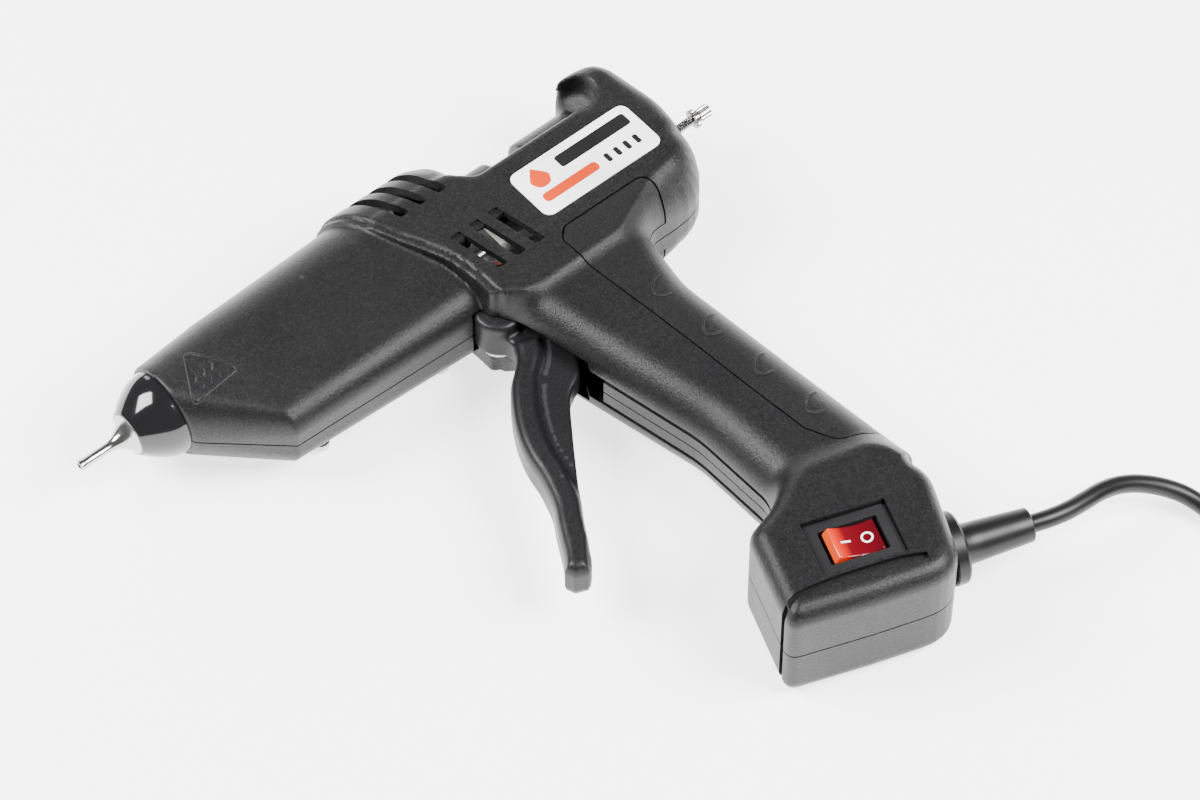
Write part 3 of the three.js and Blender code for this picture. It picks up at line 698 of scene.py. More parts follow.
def hood(x, y, z):
    """The half-tube over the stick."""
    tube = np.hypot(y, z) - HOOD_R
    rear = np.maximum(soft_max(tube, 133 - x, 1.5), x - 153)
    front = np.maximum(soft_max(tube, x - 123, 1.5), 104 - x)
    return np.maximum(np.minimum(rear, front), DECK_Y - 1 - y)


def outer(x, y, z):
    return soft_min(form(x, y, z), hood(x, y, z), 0.8)


SCREWS = [(34, -27.3), (77, -28), (162, -31), (114.5, -98), foot_point(7, 19), foot_point(46.5, 33)]
BOSS_R = 3.6
PIVOT_BOSS_R, PIVOT_BOSS_END = 4.4, 8.6


def hollow(x, y, z):
    """The space inside, around the stick's channel, the screw bosses and the pivot."""
    space = form(x, y, z) + WALL
    keep = np.maximum(np.hypot(y, z) - CHANNEL_R - 1.6, 143 - x)
    keep = np.minimum(keep, np.maximum(DECK_Y - 5 - y, 146 - x))
    for cx, cy in SCREWS:
        keep = np.minimum(keep, np.hypot(x - cx, y - cy) - BOSS_R)
    pivot = np.hypot(x - PIVOT[0], y - PIVOT[1]) - PIVOT_BOSS_R
    keep = np.minimum(keep, np.maximum(pivot, PIVOT_BOSS_END - np.abs(z)))
    return np.maximum(space, -keep)


def surface_height(x, y):
    """Z of the left side's surface over points in X and Y."""
    z = np.full(np.shape(x), 26.0)
    for _ in range(40):
        z = z - outer(x, y, z) * 0.9
    return z


# ---- Housing pieces ---------------------------------------------------------------------
SEAM = 0.26                    # half the gap between the shells
INLAY_GAP = 0.56
INLAY_OUTLINE = fillet([
    (119, -33.7, 3.5), (147.8, -33.7, 4), (150, -38.5, 5), (148.4, -46, 4), (148.4, -53, 2),
    (151, -70, 2), (160, -100, 0), (160, -142.5, 0), (139, -142.5, 5), (129.5, -139.5, 6),
    (125, -130, 8), (121.5, -91, 6), (119, -68, 6), (116, -48, 5), (115.2, -37, 4),
], 5)
LABEL_BOX = (117.2, 161.3, -29.0, -9.7)
LABEL_CORNER = 3.5
LABEL_DEPTH = 0.5
PAST_SIDE = 30                 # a height that is past the housing's side
TRIGGER_MOUTH = [(86.7, -33), (97, -33), (103, -44), (103, -60), (97, -72), (86.7, -72)]
TRIGGER_SLOT = [(95, -40), (113, -44), (113, -64), (104, -71), (100.8, -75), (95, -75)]
POCKET_R, POCKET_TOP = 7.8, 8.8    # room for the trigger's hub
GRIP_GROOVE = [(94, -64), (102, -64), (106, -90), (109.4, -112), (110.4, -141), (94, -141)]
FOOT_GROOVE = [(-6, 3.2), (-1.4, 3.8), (1.4, 5.4), (4.8, 6.6), (13.7, 7.6), (25.5, 7.9), (35, 7.7), (42, 6.5)]
FOOT_GROOVE_HALF = 1.05
SWITCH_GAP = 0.3
SCREW_HOLE_R, SCREW_HEAD_R, SCREW_HEAD_DEPTH = 1.7, 3.1, 4.5


def rounded_box(x0, x1, y0, y1, radius, inset=0.0):
    """The outline of a rectangle with round corners."""
    xs, ys = (x0 + inset, x1 - inset), (y0 + inset, y1 - inset)
    corners = [(xs[0], ys[0]), (xs[1], ys[0]), (xs[1], ys[1]), (xs[0], ys[1])]
    return fillet([(x, y, radius - inset) for x, y in corners], 8)


def vent(x, y_top, y_low, lean, width=3.4):
    """The outline of one leaning slot."""
    return fillet([
        (x, y_top, 0.5), (x + width, y_top, 0.5), (x + width + lean, y_low, 1.0), (x + lean, y_low, 1.0),
    ], 3)


def vent_tools():
    """Three slots over the barrel's rear end and three in the left and right sides."""
    tools = []
    for i in range(3):
        tools.append(prism(vent(92.2 + 6.9 * i, -18.4, -33.7, 3.1), 8, PAST_SIDE))
        tools.append(prism(vent(91.6 + 6.9 * i, -16, -33.7, 3.6), HALF_WIDTH - 0.9, PAST_SIDE))
        tools.append(prism(vent(78.2 + 6.95 * i, 18.5, -1.6, 7.4), -1, PAST_SIDE))
    return tools


def bore(start, end, radius, centre=(0, 0, 0), axis=(1, 0, 0), sides=64):
    """A round cutting tool between two distances along an axis."""
    return lathe("bore", [(start, 0), (start, radius), (end, radius), (end, 0)], centre, axis, sides)


def shell_half():
    """The left half with every cut that both halves share."""
    half = sculpt("half", outer, (-3, -206, -2), (178, 24, 22))
    inner = sculpt("inner", hollow, (-3, -206, -3), (178, 24, 22), 1.0)
    tools = [inner, block(-20, 200, -230, 40, -10, SEAM)] + vent_tools()
    tools.append(bore(75, 180, CHANNEL_R))
    tools.append(bore(-4, 4.4, 11.6))
    tools.append(bore(150, 180, 2.1, (0, SCREW_Y, 0)))
    tools.append(bore(150, 171, 3.6, (0, SCREW_Y, 0)))
    tools.append(prism(TRIGGER_MOUTH, -9, POCKET_TOP))
    tools.append(prism(TRIGGER_SLOT, -9, 4.7))
    tools.append(prism(circle(*PIVOT, POCKET_R), -6, POCKET_TOP))
    tools.append(bore(SLEEVE_START - 14, SLEEVE_START + 8, 6.6, (*foot_point(0, EXIT_UP), 0), FOOT_ALONG))
    line = smooth_path(FOOT_GROOVE, 40)
    edge = [foot_point(a, u + FOOT_GROOVE_HALF) for a, u in line]
    edge += [foot_point(a, u - FOOT_GROOVE_HALF) for a, u in line[::-1]]
    groove = prism(edge, -9, 26)
    combine(groove, [foot_block(0.4, FOOT_LENGTH + 9, 0, 12, -9.5, HALF_WIDTH - 1.7)])
    tools.append(groove)
    tools.append(prism(GRIP_GROOVE, 4.4, 6.0))
    return combine(half, tools)


def below_form(name, depth, low, high, step=GRID):
    """The housing's plain form, made smaller by a depth, inside a box."""
    return sculpt(name, lambda x, y, z: form(x, y, z) + depth, low, high, step)


def add_housing():
    half = shell_half()
    seat = prism(INLAY_OUTLINE, 6, PAST_SIDE)
    combine(seat, [below_form("depth", 1.5, (90, -165, 2), (175, -10, 22), 0.9)])
    combine(half, [seat])
    pad = below_form("inlay_left", 0.1, (100, -160, 3), (165, -20, 22))
    combine(pad, [prism(polygon_inset(INLAY_OUTLINE, INLAY_GAP), 6.3, PAST_SIDE)], "INTERSECT")
    combine(pad, [below_form("under", 1.3, (95, -165, 1), (170, -15, 22), 0.9)])
    right_pad = mirror_copy(pad, "inlay_right")
    right = mirror_copy(half, "housing_right")
    half.name = "housing_left"
    label_seat = prism(rounded_box(*LABEL_BOX, LABEL_CORNER), HALF_WIDTH - LABEL_DEPTH, 26)
    reach, rise = SWITCH_LENGTH / 2 + SWITCH_GAP, SWITCH_WIDTH / 2 + SWITCH_GAP
    well = foot_block(
        SWITCH_ALONG - reach, SWITCH_ALONG + reach, SWITCH_UP - rise, SWITCH_UP + rise, 14.5, 26,
    )
    combine(half, [label_seat, well])
    holes = []
    for x, y in SCREWS:
        holes.append(prism(circle(x, y, SCREW_HOLE_R, 24), -26, -4))
        holes.append(prism(circle(x, y, SCREW_HEAD_R, 32), -26, -HALF_WIDTH + SCREW_HEAD_DEPTH))
    combine(right, holes)
    finish_piece(half, "shell", 30, ["left_shell"])
    finish_piece(right, "shell", 30, ["right_shell"])
    finish_piece(pad, "inlay", 40, ["grip_inlay_left"])
    finish_piece(right_pad, "inlay", 40, ["grip_inlay_right"])


def polygon_inset(points, distance):
    """The outline moved in by a small distance, point by point."""
    turn = 1 if signed_area(points) > 0 else -1
    moved = []
    n = len(points)
    for i, (x, y) in enumerate(points):
        ax, ay = points[i - 1]
        bx, by = points[(i + 1) % n]
        tx, ty = bx - ax, by - ay
        size = math.hypot(tx, ty)
        moved.append((x - turn * ty / size * distance, y + turn * tx / size * distance))
    return moved


def raised_ribbon(name, path, width, height, key="shell"):
    """A low raised line on the left side, along a path in X and Y."""
    path = np.array(path, float)
    tangent = np.gradient(path, axis=0)
    tangent /= np.linalg.norm(tangent, axis=1)[:, None]
    normal = np.stack([-tangent[:, 1], tangent[:, 0]], 1)
    profile = [(-0.5, -0.2), (-0.42, 0.55), (-0.22, 0.95), (0, 1), (0.22, 0.95), (0.42, 0.55), (0.5, -0.2)]
    sections = []
    for across, lift in profile:
        spot = path + normal * (across * width)
        rise = surface_height(spot[:, 0], spot[:, 1]) + lift * height
        sections.append(np.column_stack([spot, rise]))
    ribbon = ring_solid(name, np.stack(sections, 1).reshape(-1, 3).tolist(), len(profile))
    finish_piece(ribbon, key, 60)


def smooth_path(points, count):
    """A Catmull-Rom curve through the points, as count samples at even spacing."""
    knots = np.array(points, float)
    padded = np.vstack([2 * knots[0] - knots[1], knots, 2 * knots[-1] - knots[-2]])
    curve = []
    for i in range(1, len(padded) - 2):
        p0, p1, p2, p3 = padded[i - 1:i + 3]
        for t in np.linspace(0, 1, 24, endpoint=False):
            square = 2 * p0 - 5 * p1 + 4 * p2 - p3
            cube = 3 * p1 - p0 - 3 * p2 + p3
            curve.append(0.5 * (2 * p1 + (p2 - p0) * t + square * t * t + cube * t**3))
    curve = np.array(curve + [knots[-1]])
    reach = np.concatenate([[0], np.cumsum(np.linalg.norm(np.diff(curve, axis=0), axis=1))])
    even = np.linspace(0, reach[-1], count)
    return np.stack([np.interp(even, reach, curve[:, i]) for i in range(curve.shape[1])], 1)


def add_marks():
    """The finger marks on the grip and the hot-surface symbol on the barrel."""
    hook = [(7.5, 4.2), (3.4, 3.4), (0.4, 0.6), (0.6, -2.2), (4.2, -3.2)]
    for i in range(4):
        x, y = 124.5 + 1.9 * i, -66.5 - 19.6 * i
        path = smooth_path([(x + a, y + b) for a, b in hook], 30)
        raised_ribbon(f"finger_mark_{i + 1}", path, 0.8, 0.16, "inlay")
    loop = fillet([(11, 3.2, 1.6), (20.2, -10.6, 1.6), (3, -11.6, 1.6)], 5)
    raised_ribbon("hot_symbol_frame", smooth_path(loop + [loop[0]], 110), 1.1, 0.32)
    wave = [(-0.4, -9.6), (0.8, -8.2), (-0.4, -6.6), (0.8, -5.0), (0.2, -3.6)]
    for i in range(3):
        path = smooth_path([(8.4 + 2.9 * i + a, b) for a, b in wave], 26)
        raised_ribbon(f"hot_symbol_wave_{i + 1}", path, 0.9, 0.3)


def add_label():
    """A film label with a plain stripe, a drop, a stick and ticks, and no lettering."""
    top = HALF_WIDTH - 0.06
    film = prism(rounded_box(*LABEL_BOX, LABEL_CORNER, 0.35), HALF_WIDTH - LABEL_DEPTH, top, "label")
    bevel(film, 0.06, 2)
    finish_piece(film, "label", 40, ["label_plate"])
    drop = [(124.8, -11.6, 0.3)]
    drop += [(x, y, 2.2) for x, y in ((128.4, -16.2), (126.6, -19.4), (123, -19.4), (121.2, -16.2))]
    prints = [
        ("label_stripe", rounded_box(121, 141, -24.6, -21.2, 1.6), "ink_orange"),
        ("label_drop", fillet(drop, 6), "ink_orange"),
        ("label_stick", rounded_box(132.5, 158.4, -17.4, -12.8, 1.1), "ink_dark"),
    ]
    for i in range(4):
        tick = rounded_box(144 + 3.6 * i, 145.6 + 3.6 * i, -24.6, -21.2, 0.7)
        prints.append((f"label_tick_{i + 1}", tick, "ink_dark"))
    for name, outline, key in prints:
        ink = prism(outline, top - 0.05, top + 0.03, name)
        finish_piece(ink, key, 40)


# ---- Nose, nozzle and stroke screw ------------------------------------------------------
def add_nose():
    """The gloss nose and the turned nozzle, as profiles of (X, radius)."""
    dome = [(-12.4, 6.2), (-12.4, 6.75), (-12.15, 7.05), (-11.6, 7.5)]
    for t in np.linspace(0.08, 1, 14):
        dome.append((-11.6 + 11.3 * t, 7.5 + 5.55 * math.sin(t * math.pi / 2) ** 0.92))
    dome += [(-0.1, 13.1), (0.1, 11.3), (4.2, 11.3), (4.2, 9.4), (-2, 9.0), (-8, 7.0)]
    cone = lathe("nose", dome, sides=96)
    finish_piece(cone, "nose", 50, ["nose_cone"])
    profile = [(TIP_X + a, r) for a, r in ((0, 0.85), (0, 1.35), (0.25, 1.6), (1.0, 1.62), (1.3, 1.5))]
    profile.append((-19.4, 1.5))
    profile += [(-19.4 + 7.0 * t, 1.5 + 4.75 * t**2.1) for t in np.linspace(0.1, 1, 14)]
    profile += [(-12.2, 6.2), (-11.6, 5.8), (-8.4, 5.6), (-3, 5.4), (-3, 3.9), (9, 3.9), (9, 1.3), (-16, 0.9)]
    tip = lathe("nozzle_tip", profile, sides=72)
    finish_piece(tip, "nickel", 40, ["nozzle"])


def threaded(name, x0, x1, radius, pitch, y):
    """A screw along X with a helical thread."""
    sides, per_turn = 28, 28
    rows = int((x1 - x0) / pitch * per_turn)
    points = []
    for r in range(rows + 1):
        x = x0 + (x1 - x0) * r / rows
        for i in range(sides):
            phase = ((x / pitch) - i / sides) % 1
            depth = 0.18 * (1 - abs(2 * phase - 1) * 2) if r not in (0, rows) else -0.2
            reach = radius - 0.16 + depth
            a = 2 * math.pi * i / sides
            points.append((x, y + reach * math.cos(a), reach * math.sin(a)))
    return ring_solid(name, points, sides)


def knurled(name, x0, x1, radius, y, teeth, hole=0.0):
    """A knurled knob along X, with chamfered ends."""
    sides, chamfer, groove = teeth * 4, 0.28, 0.16
    points = []
    for x, share in ((x0, 0.78), (x0 + chamfer, 1.0), (x1 - chamfer, 1.0), (x1, 0.78)):
        for i in range(sides):
            a = 2 * math.pi * i / sides
            reach = radius * share - (groove if i % 4 == 0 else 0)
            points.append((x, y + reach * math.cos(a), reach * math.sin(a)))
    thing = ring_solid(name, points, sides)
    if hole:
        combine(thing, [bore(x0 - 1, x1 + 1, hole, (0, y, 0), sides=32)])
    return thing


def add_stroke_screw():
    rod = threaded("stroke_screw", 150.1, 184.9, 1.55, 0.8, SCREW_Y)
    finish_piece(rod, "nickel", 25, ["adjusting_screw"], "adjusting_screw")
    knob = knurled("stroke_knob", 184.9, 189.3, 2.05, SCREW_Y, 18)
    finish_piece(knob, "nickel", 25, body="adjusting_screw")
    nut = knurled("stroke_nut", 182.7, 184.5, 3.0, SCREW_Y, 22, hole=1.75)
    finish_piece(nut, "nickel", 25, ["lock_nut"], "lock_nut")


# ---- Trigger ----------------------------------------------------------------------------
TRIGGER_FRONT = [
    (86, -41), (87.6, -44.5), (88.6, -49), (85, -54), (79, -59), (74.5, -64.5), (71, -70), (68, -76),
    (66, -82), (64.8, -88), (63, -94), (61, -99), (58, -104), (53, -113), (50, -117),
]
TRIGGER_REAR = [
    (51, -119.5), (54.5, -121), (57.6, -118.6), (61.6, -111), (70.5, -98), (79.5, -85), (87.5, -74),
    (90.4, -71), (97, -67), (101, -60), (102.5, -52), (101, -44), (97.5, -37),
]
ARM_LENGTH = 24                # pivot to the drive link's pin
ARM_LEAN = math.radians(10)
HUB_R = 7.2


def add_trigger():
    """A wide finger plate along the front, a thinner web behind it, the hub and the arm."""
    arm = (PIVOT[0] + ARM_LENGTH * math.sin(ARM_LEAN), PIVOT[1] + ARM_LENGTH * math.cos(ARM_LEAN))
    top = circle(*arm, 3.2, 8, 0, 180) + [(84.5, -33)]
    blade = [tuple(p) for p in smooth_path(TRIGGER_FRONT[2:], 60)]
    back = [tuple(p) for p in smooth_path(TRIGGER_REAR[:-1], 60)]
    web_outline = TRIGGER_FRONT[:2] + blade + back + [TRIGGER_REAR[-1]] + top
    inner = [(x + 6.5, y - 2.4) for x, y in blade][::-1]
    plate_outline = blade + TRIGGER_REAR[:2] + inner[6:]

    def distance(x, y, z):
        web = slab(polygon(x, y, web_outline), z, 4.2, 1.2)
        finger = slab(polygon(x, y, plate_outline), z, 7.0, 2.4)
        hub = slab(np.hypot(x - PIVOT[0], y - PIVOT[1]) - HUB_R, z - 1.6, 6.6, 1.6)
        return soft_min(soft_min(web, finger, 2.2), hub, 1.5)

    lever = sculpt("trigger_lever", distance, (46, -125, -9), (106, -9, 9), 0.55)
    combine(lever, [prism(circle(*arm, 1.8), -9, 9), block(arm[0] - 6, arm[0] + 6, -20, -8, -2, 2)])
    finish_piece(lever, "trigger", 35, ["trigger"], "trigger")


# ---- Switch -----------------------------------------------------------------------------
SWITCH_Z = 15.4                # underside of the switch's flange
FLANGE = 2.4
ROCKER_AXIS_Z = 13.6
ROCKER_R = 8.3
ROCKER_HALF_WIDTH = 5.2
ROCKER_HIGH, ROCKER_LOW = -5.97, 7.33     # ends of the top, along the foot
MARK_X = 3.9                   # the ring's middle


def on_foot(thing, z):
    """Takes a mesh drawn round the switch's middle, X along the foot, into place."""
    middle = place(*foot_point(SWITCH_ALONG, SWITCH_UP), z)
    thing.data.transform(Matrix.Translation(middle) @ Matrix.Rotation(TILT, 4, "Z"))


def local_mesh(name, points, faces):
    mesh = bpy.data.meshes.new(name)
    mesh.from_pydata([Vector(p) / 1000 for p in points], [], faces)
    mesh.update()
    thing = link(name, mesh)
    recalculate(thing)
    return thing


def local_prism(name, outline, z0, z1):
    points = [(x, y, z) for z in (z0, z1) for x, y in outline]
    return local_mesh(name, points, ring_faces(2, len(outline)))


def local_box(name, half_length, half_width, radius, z0, z1):
    outline = rounded_box(-half_length, half_length, -half_width, half_width, radius)
    return local_prism(name, outline, z0, z1)


def rocker_top(u):
    """Height of the rocker's top over its axis, along its length."""
    return np.interp(u, [ROCKER_HIGH, 0.8, ROCKER_LOW], [5.77, 3.35, 3.9]) + 0.12 * np.cos(u * 0.9)


def add_switch():
    """The switch's flange and box, its rocker, and the marks for on and off."""
    half_l, half_w = SWITCH_LENGTH / 2, SWITCH_WIDTH / 2
    corners = ((-half_l, -half_w), (half_l, -half_w), (half_l, half_w), (-half_l, half_w))
    case = local_prism("switch_frame", fillet([(x, y, 1.2) for x, y in corners], 5), 0, FLANGE)
    combine(case, [local_box("tool", 9.4, 6.4, 0.8, -13.6, 0.6)], "UNION")
    combine(case, [local_box("tool", 8.7, 5.7, 0.6, -5.9, 5)])
    bevel(case, 0.35, 3)
    on_foot(case, SWITCH_Z)
    finish_piece(case, "switch_black", 35, ["switch_housing"])

    def arc(*degrees):
        turns = [math.radians(a) for a in degrees]
        return [(ROCKER_R * math.cos(a), ROCKER_R * math.sin(a)) for a in turns]

    top = [(u, float(rocker_top(u))) for u in np.linspace(ROCKER_LOW, ROCKER_HIGH, 22)]
    side = top + arc(142, 149, 156) + [(-6, 0.6), (-1, -2.4), (5, -1.4)] + arc(8, 15, 22)
    points = [(x, y, z) for y in (-ROCKER_HALF_WIDTH, ROCKER_HALF_WIDTH) for x, z in side]
    rocker = local_mesh("rocker_cap", points, ring_faces(2, len(side)))
    bevel(rocker, 0.45, 3, 30)
    on_foot(rocker, ROCKER_AXIS_Z)
    finish_piece(rocker, "rocker", 35, ["rocker"], "rocker")
    bar = local_prism("rocker_mark_on", rounded_box(-3.9, -0.9, -0.32, 0.32, 0.3), -1, 1)
    ring = local_prism("rocker_mark_off", circle(MARK_X, 0, 1.75, 40), -1, 1)
    combine(ring, [local_prism("tool", circle(MARK_X, 0, 1.2, 40), -2, 2)])
    for mark in (bar, ring):
        for vertex in mark.data.vertices:
            lift = 0.04 if vertex.co.z > 0 else -0.15
            vertex.co.z = (float(rocker_top(vertex.co.x * 1000)) + lift) / 1000
        on_foot(mark, ROCKER_AXIS_Z)
        finish_piece(mark, "mark_white", 40, body="rocker")


# ---- Lead, coil and plug ----------------------------------------------------------------
LEAD = [                       # metres, as part.mjs has it
    (0.0800, -0.0993, 0.0195), (0.0856, -0.1012, 0.0194), (0.0913, -0.1023, 0.0189),
    (0.0972, -0.1025, 0.0180), (0.1034, -0.1024, 0.0167), (0.1092, -0.1029, 0.0149),
    (0.1144, -0.1044, 0.0129), (0.1192, -0.1069, 0.0107), (0.1234, -0.1101, 0.0085),
    (0.1267, -0.1142, 0.0066), (0.1287, -0.1192, 0.0050), (0.1297, -0.1253, 0.0038),
    (0.1306, -0.1328, 0.0031), (0.1322, -0.1408, 0.00285),
]
LEAD_END = [
    (0.1780, -0.1219, 0.0182), (0.1690, -0.1225, 0.0186), (0.1605, -0.1257, 0.0200),
    (0.1542, -0.1315, 0.0215), (0.1511, -0.1374, 0.0221),
]
TURNS = [                      # radius and height over the floor of each turn, and of the end
    (35.3, 2.85), (29.7, 2.85), (24.1, 2.85), (26.9, 7.6), (32.5, 7.6), (35.3, 12.3), (29.7, 12.3),
    (24.3, 12.6), (29.8, 18.2),
]
COIL_START, COIL_END = 200.0, 66.0     # degrees
SHIFT_SHARE = 0.24             # the part of a turn in which it moves over to the next


def coil_points():
    """The wound turns, in metres: three layers, each turn shifting over its last stretch."""
    centre = place(COIL_X, COIL_Y)
    whole = len(TURNS) - 1
    sweep = 360 * whole - (COIL_START - COIL_END)
    steps = 24 * whole
    points = []
    for i in range(steps + 1):
        travelled = sweep * i / steps
        turn = min(int(travelled // 360), whole - 1)
        share = (travelled - 360 * turn) / 360
        last = 1.0 if turn < whole - 1 else sweep / 360 - (whole - 1)
        t = np.clip((share - (last - SHIFT_SHARE)) / SHIFT_SHARE, 0, 1)
        t = t * t * (3 - 2 * t)
        radius, height = ((a * (1 - t) + b * t) / 1000 for a, b in zip(TURNS[turn], TURNS[turn + 1]))
        angle = math.radians(COIL_START + travelled)
        points.append((centre.x + radius * math.cos(angle), centre.y + radius * math.sin(angle), height))
    return points


def add_lead():
    samples = smooth_path(LEAD + coil_points() + LEAD_END, 1100)
    curve = bpy.data.curves.new("mains_lead", "CURVE")
    curve.dimensions = "3D"
    curve.bevel_depth = CORD_R / 1000
    curve.bevel_resolution = 5
    curve.use_fill_caps = True
    spline = curve.splines.new("POLY")
    spline.points.add(len(samples) - 1)
    for point, sample in zip(spline.points, samples):
        point.co = (*sample, 1)
    cord = link("mains_lead", curve)
    curve.materials.append(MATERIALS["cord"])
    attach(cord, "housing")
    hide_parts("cord_lead", "cord_coil", "cord_end")
    return cord


def add_sleeve():
    """The strain relief: a collar in the housing, then a slightly tapered sleeve."""
    profile = [
        (-10, CORD_R + 0.15), (-10, 6.0), (-1.6, 6.0), (-1.6, 10.2), (-1.1, 10.6), (1.9, 10.5),
        (2.6, 9.9), (2.9, 6.6), (3.8, 6.0),
    ]
    profile += [(3.8 + (SLEEVE_LENGTH - 4.6) * t, 6.0 - 1.0 * t) for t in (0.25, 0.5, 0.75, 1.0)]
    end = [(-0.3, 4.9), (0, 4.5), (0, 3.3), (-0.5, CORD_R + 0.1)]
    profile += [(SLEEVE_LENGTH + a, r) for a, r in end]
    profile = [(SLEEVE_START + a, r) for a, r in profile]
    relief = lathe("lead_sleeve", profile, (*foot_point(0, EXIT_UP), 0), FOOT_ALONG, 48)
    return finish_piece(relief, "cord", 35, ["strain_relief"])


def add_tie():
    """A hook-and-loop strap round one side of the coil."""
    middle_r, middle_h = TURNS[1][0], TURNS[3][1]

    def band(reach, rise):
        points = []
        for u, v in circle(0, 0, 1, 40):
            sharp = (abs(u) ** 4 + abs(v) ** 4) ** -0.25
            points.append((middle_r + reach * u * sharp, middle_h + rise * v * sharp))
        return points

    inside, outside = band(8.5, 7.7), band(9.5, 8.4)
    points, faces = [], []
    for width in (-3.0, 3.0):
        for ring in (inside, outside):
            points += [(COIL_X + r, COIL_Y + width, max(h, 0.3) - HALF_WIDTH) for r, h in ring]
    n = len(inside)
    for i in range(n):
        j = (i + 1) % n
        faces += [[i, j, n + j, n + i], [2 * n + i, 3 * n + i, 3 * n + j, 2 * n + j]]
        faces += [[i, 2 * n + i, 2 * n + j, j], [n + i, n + j, 3 * n + j, 3 * n + i]]
    strap = mesh_from("lead_tie", points, faces)
    recalculate(strap)
    bevel(strap, 0.2, 2)
    return finish_piece(strap, "strap", 40, ["cord_tie"])


def add_plug():
    """A flat two-pin plug lying on the coil, with a ribbed neck."""
    x, y, thick = COIL_X - 22, COIL_Y, 13.2
    low = 15.5 - HALF_WIDTH
    middle, top = low + thick / 2, low + thick
    outline = fillet([
        (x - 17.4, y - 28, 4), (x + 17.4, y - 28, 4), (x + 17.4, y - 15, 6), (x + 6.6, y + 6, 8),
        (x - 6.6, y + 6, 8), (x - 17.4, y - 15, 6),
    ], 8)

    def distance(px, py, pz):
        return slab(polygon(px, py, outline), pz - middle, thick / 2, 3.0)

    shell = sculpt("plug", distance, (x - 20, y - 31, low - 2), (x + 20, y + 9, top + 2), 0.9)
    for i in range(4):
        combine(shell, [block(x - 22, x + 22, y - 21 + 4 * i, y - 19.6 + 4 * i, top - 0.5, top + 2)])
    finish_piece(shell, "plug", 35, ["plug_body"])
    profile = [(4, 0), (4, 5.2)]
    for i in range(3):
        rib = [(6.6, 5.0 - 0.35 * i), (7.0, 4.0 - 0.3 * i), (8.2, 4.0 - 0.3 * i), (8.6, 4.7 - 0.35 * i)]
        profile += [(a + 2.2 * i, r) for a, r in rib]
    profile += [(12.6, 3.6), (12.6, 0)]
    neck = lathe("plug_neck", profile, (x, y, middle), (0, 1, 0), 40)
    finish_piece(neck, "plug")
    return shell, neck


# ---- Assembly ---------------------------------------------------------------------------
BLACK = (0.003, 0.003, 0.0033)
GREY = (0.014, 0.014, 0.015)


def make_materials():
    """Every look but the floor's, by its key."""
    smooth = smooth_plastic
    return {
        "shell": textured_plastic("shell_plastic", BLACK, GREY, 0.36),
        "inlay": textured_plastic("inlay_plastic", BLACK, (0.013, 0.013, 0.014), 0.39, 1700),
        "trigger": textured_plastic("trigger_plastic", (0.004, 0.004, 0.0045), GREY, 0.38, 1900, 0.00010),
        "nose": smooth("nose_plastic", (0.006, 0.006, 0.007), 0.10, 0.5, 0.3),
        "label": smooth("label_film", (0.95, 0.95, 0.94), 0.35),
        "ink_orange": smooth("ink_orange", (0.50, 0.035, 0.001), 0.45, 0.2),
        "ink_dark": smooth("ink_dark", (0.004, 0.004, 0.004), 0.45, 0.25),
        "nickel": metal("nickel_plate", (0.44, 0.43, 0.42), 0.16),
        "steel": metal("zinc_steel", (0.55, 0.56, 0.58), 0.34, 0.1),
        "aluminium": metal("cast_aluminium", (0.20, 0.20, 0.21), 0.6, 0.3),
        "brass": metal("turned_brass", (0.72, 0.52, 0.22), 0.28, 0.05),
        # painted shade: these three are darker than the real parts, so the inside seen through the vents
        # reads as shadowed
        "silicone": smooth("silicone_painted_shade", (0.06, 0.010, 0.007), 0.6),
        "shaded_insulation": smooth("white_insulation", (0.15, 0.145, 0.135), 0.6),
        "ceramic": smooth("ceramic_painted_shade", (0.15, 0.14, 0.12), 0.7),
        "nylon": smooth("natural_nylon", (0.70, 0.69, 0.63), 0.42),
        "switch_black": smooth("switch_black", (0.013, 0.013, 0.014), 0.22),
        "rocker": rocker_plastic(),
        "mark_white": smooth("mark_white", (0.85, 0.85, 0.85), 0.35),
        "cord": smooth("cord_rubber", (0.005, 0.005, 0.0055), 0.36, 0.27),
        "plug": textured_plastic("plug_rubber", (0.012, 0.012, 0.013), (0.025, 0.025, 0.027), 0.45, 2400),
        "strap": textured_plastic("strap_weave", GREY, (0.04, 0.04, 0.042), 0.8, 1800, 0.0003),
    }


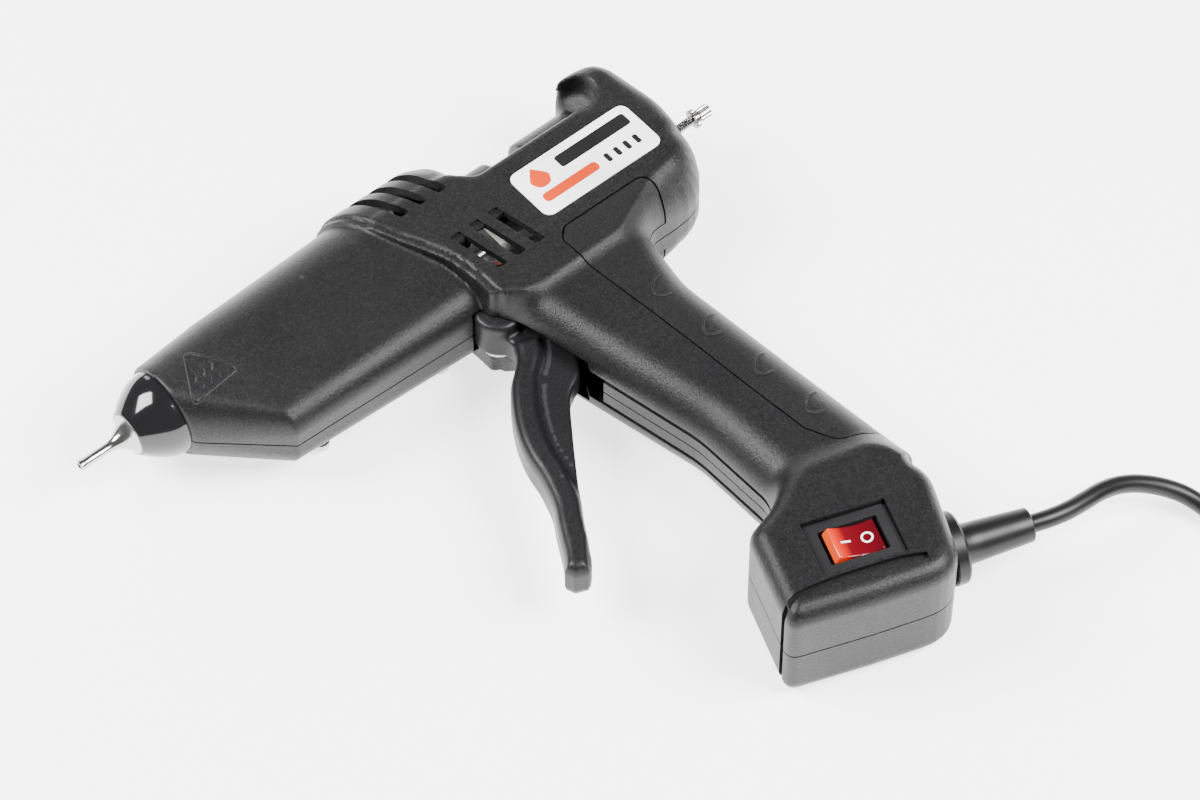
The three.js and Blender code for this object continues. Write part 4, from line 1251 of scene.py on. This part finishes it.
def rocker_plastic():
    """Clear red plastic with a painted glow: it emits its own colour, paler and more orange towards its
    raised end as a painted highlight.
    """
    material, tree, shader = new_material("rocker_red", (0.3, 0.002, 0.002), 0.14, specular=0.35)
    shader.inputs["Coat Weight"].default_value = 0.2
    dot = tree.nodes.new("ShaderNodeVectorMath")
    dot.operation = "DOT_PRODUCT"
    tree.links.new(coordinates(tree), dot.inputs[0])
    dot.inputs[1].default_value = FOOT_ALONG
    middle = place(*foot_point(SWITCH_ALONG, SWITCH_UP), ROCKER_AXIS_Z).dot(Vector(FOOT_ALONG))
    along = map_range(tree, dot.outputs["Value"], from_min=middle - 0.0078, from_max=middle + 0.0075)
    # painted glow and highlight: the emission and the orange raised end stand in for light on the rocker
    painted_glow = ramp(tree, along, [
        (0.0, (0.62, 0.07, 0.006)), (0.2, (0.45, 0.014, 0.003)),
        (0.38, (0.10, 0.0005, 0.004)), (1.0, (0.05, 0.0002, 0.003)),
    ])
    tree.links.new(painted_glow, shader.inputs["Base Color"])
    tree.links.new(painted_glow, shader.inputs["Emission Color"])
    # strength of the painted glow
    shader.inputs["Emission Strength"].default_value = 0.25
    return material


CAD_LOOKS = {                  # the CAD nodes that stay in sight
    "aluminium": ["melt_chamber"],
    "ceramic": ["heater_plate", "heater_insulator", "thermal_fuse"],
    "steel": [
        "heater_clamp", "sleeve_clip", "trigger_pin", "trigger_spring", "link_pin_rear", "pawl_pin",
        "link_pin_front", "grip_pawl", "drive_link", "guide_rod_left", "guide_rod_right",
        "clamp_screw_1", "clamp_screw_2", *(f"shell_screw_{i}" for i in range(1, 7)),
    ],
    "brass": ["nozzle_washer", "threaded_insert", "switch_terminal_1", "switch_terminal_2"],
    "silicone": ["inlet_sleeve", "lead_live"],
    "shaded_insulation": ["lead_neutral"],
    "nylon": ["pivot_spacer", "feed_carriage", "guide_bracket", "screw_foot", "cord_clamp"],
    "cord": ["cord_tail"],
    "nickel": ["plug_pin_1", "plug_pin_2"],
}


def dress_cad():
    for key, names in CAD_LOOKS.items():
        for name in names:
            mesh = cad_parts[name].data
            mesh.materials.clear()
            mesh.materials.append(MATERIALS[key])


add_camera()
add_studio()
MATERIALS = make_materials()
lead = add_lead()
sleeve = add_sleeve()
tie = add_tie()
plug, plug_neck = add_plug()
add_housing()
add_marks()
add_label()
add_nose()
add_stroke_screw()
add_trigger()
add_switch()
dress_cad()
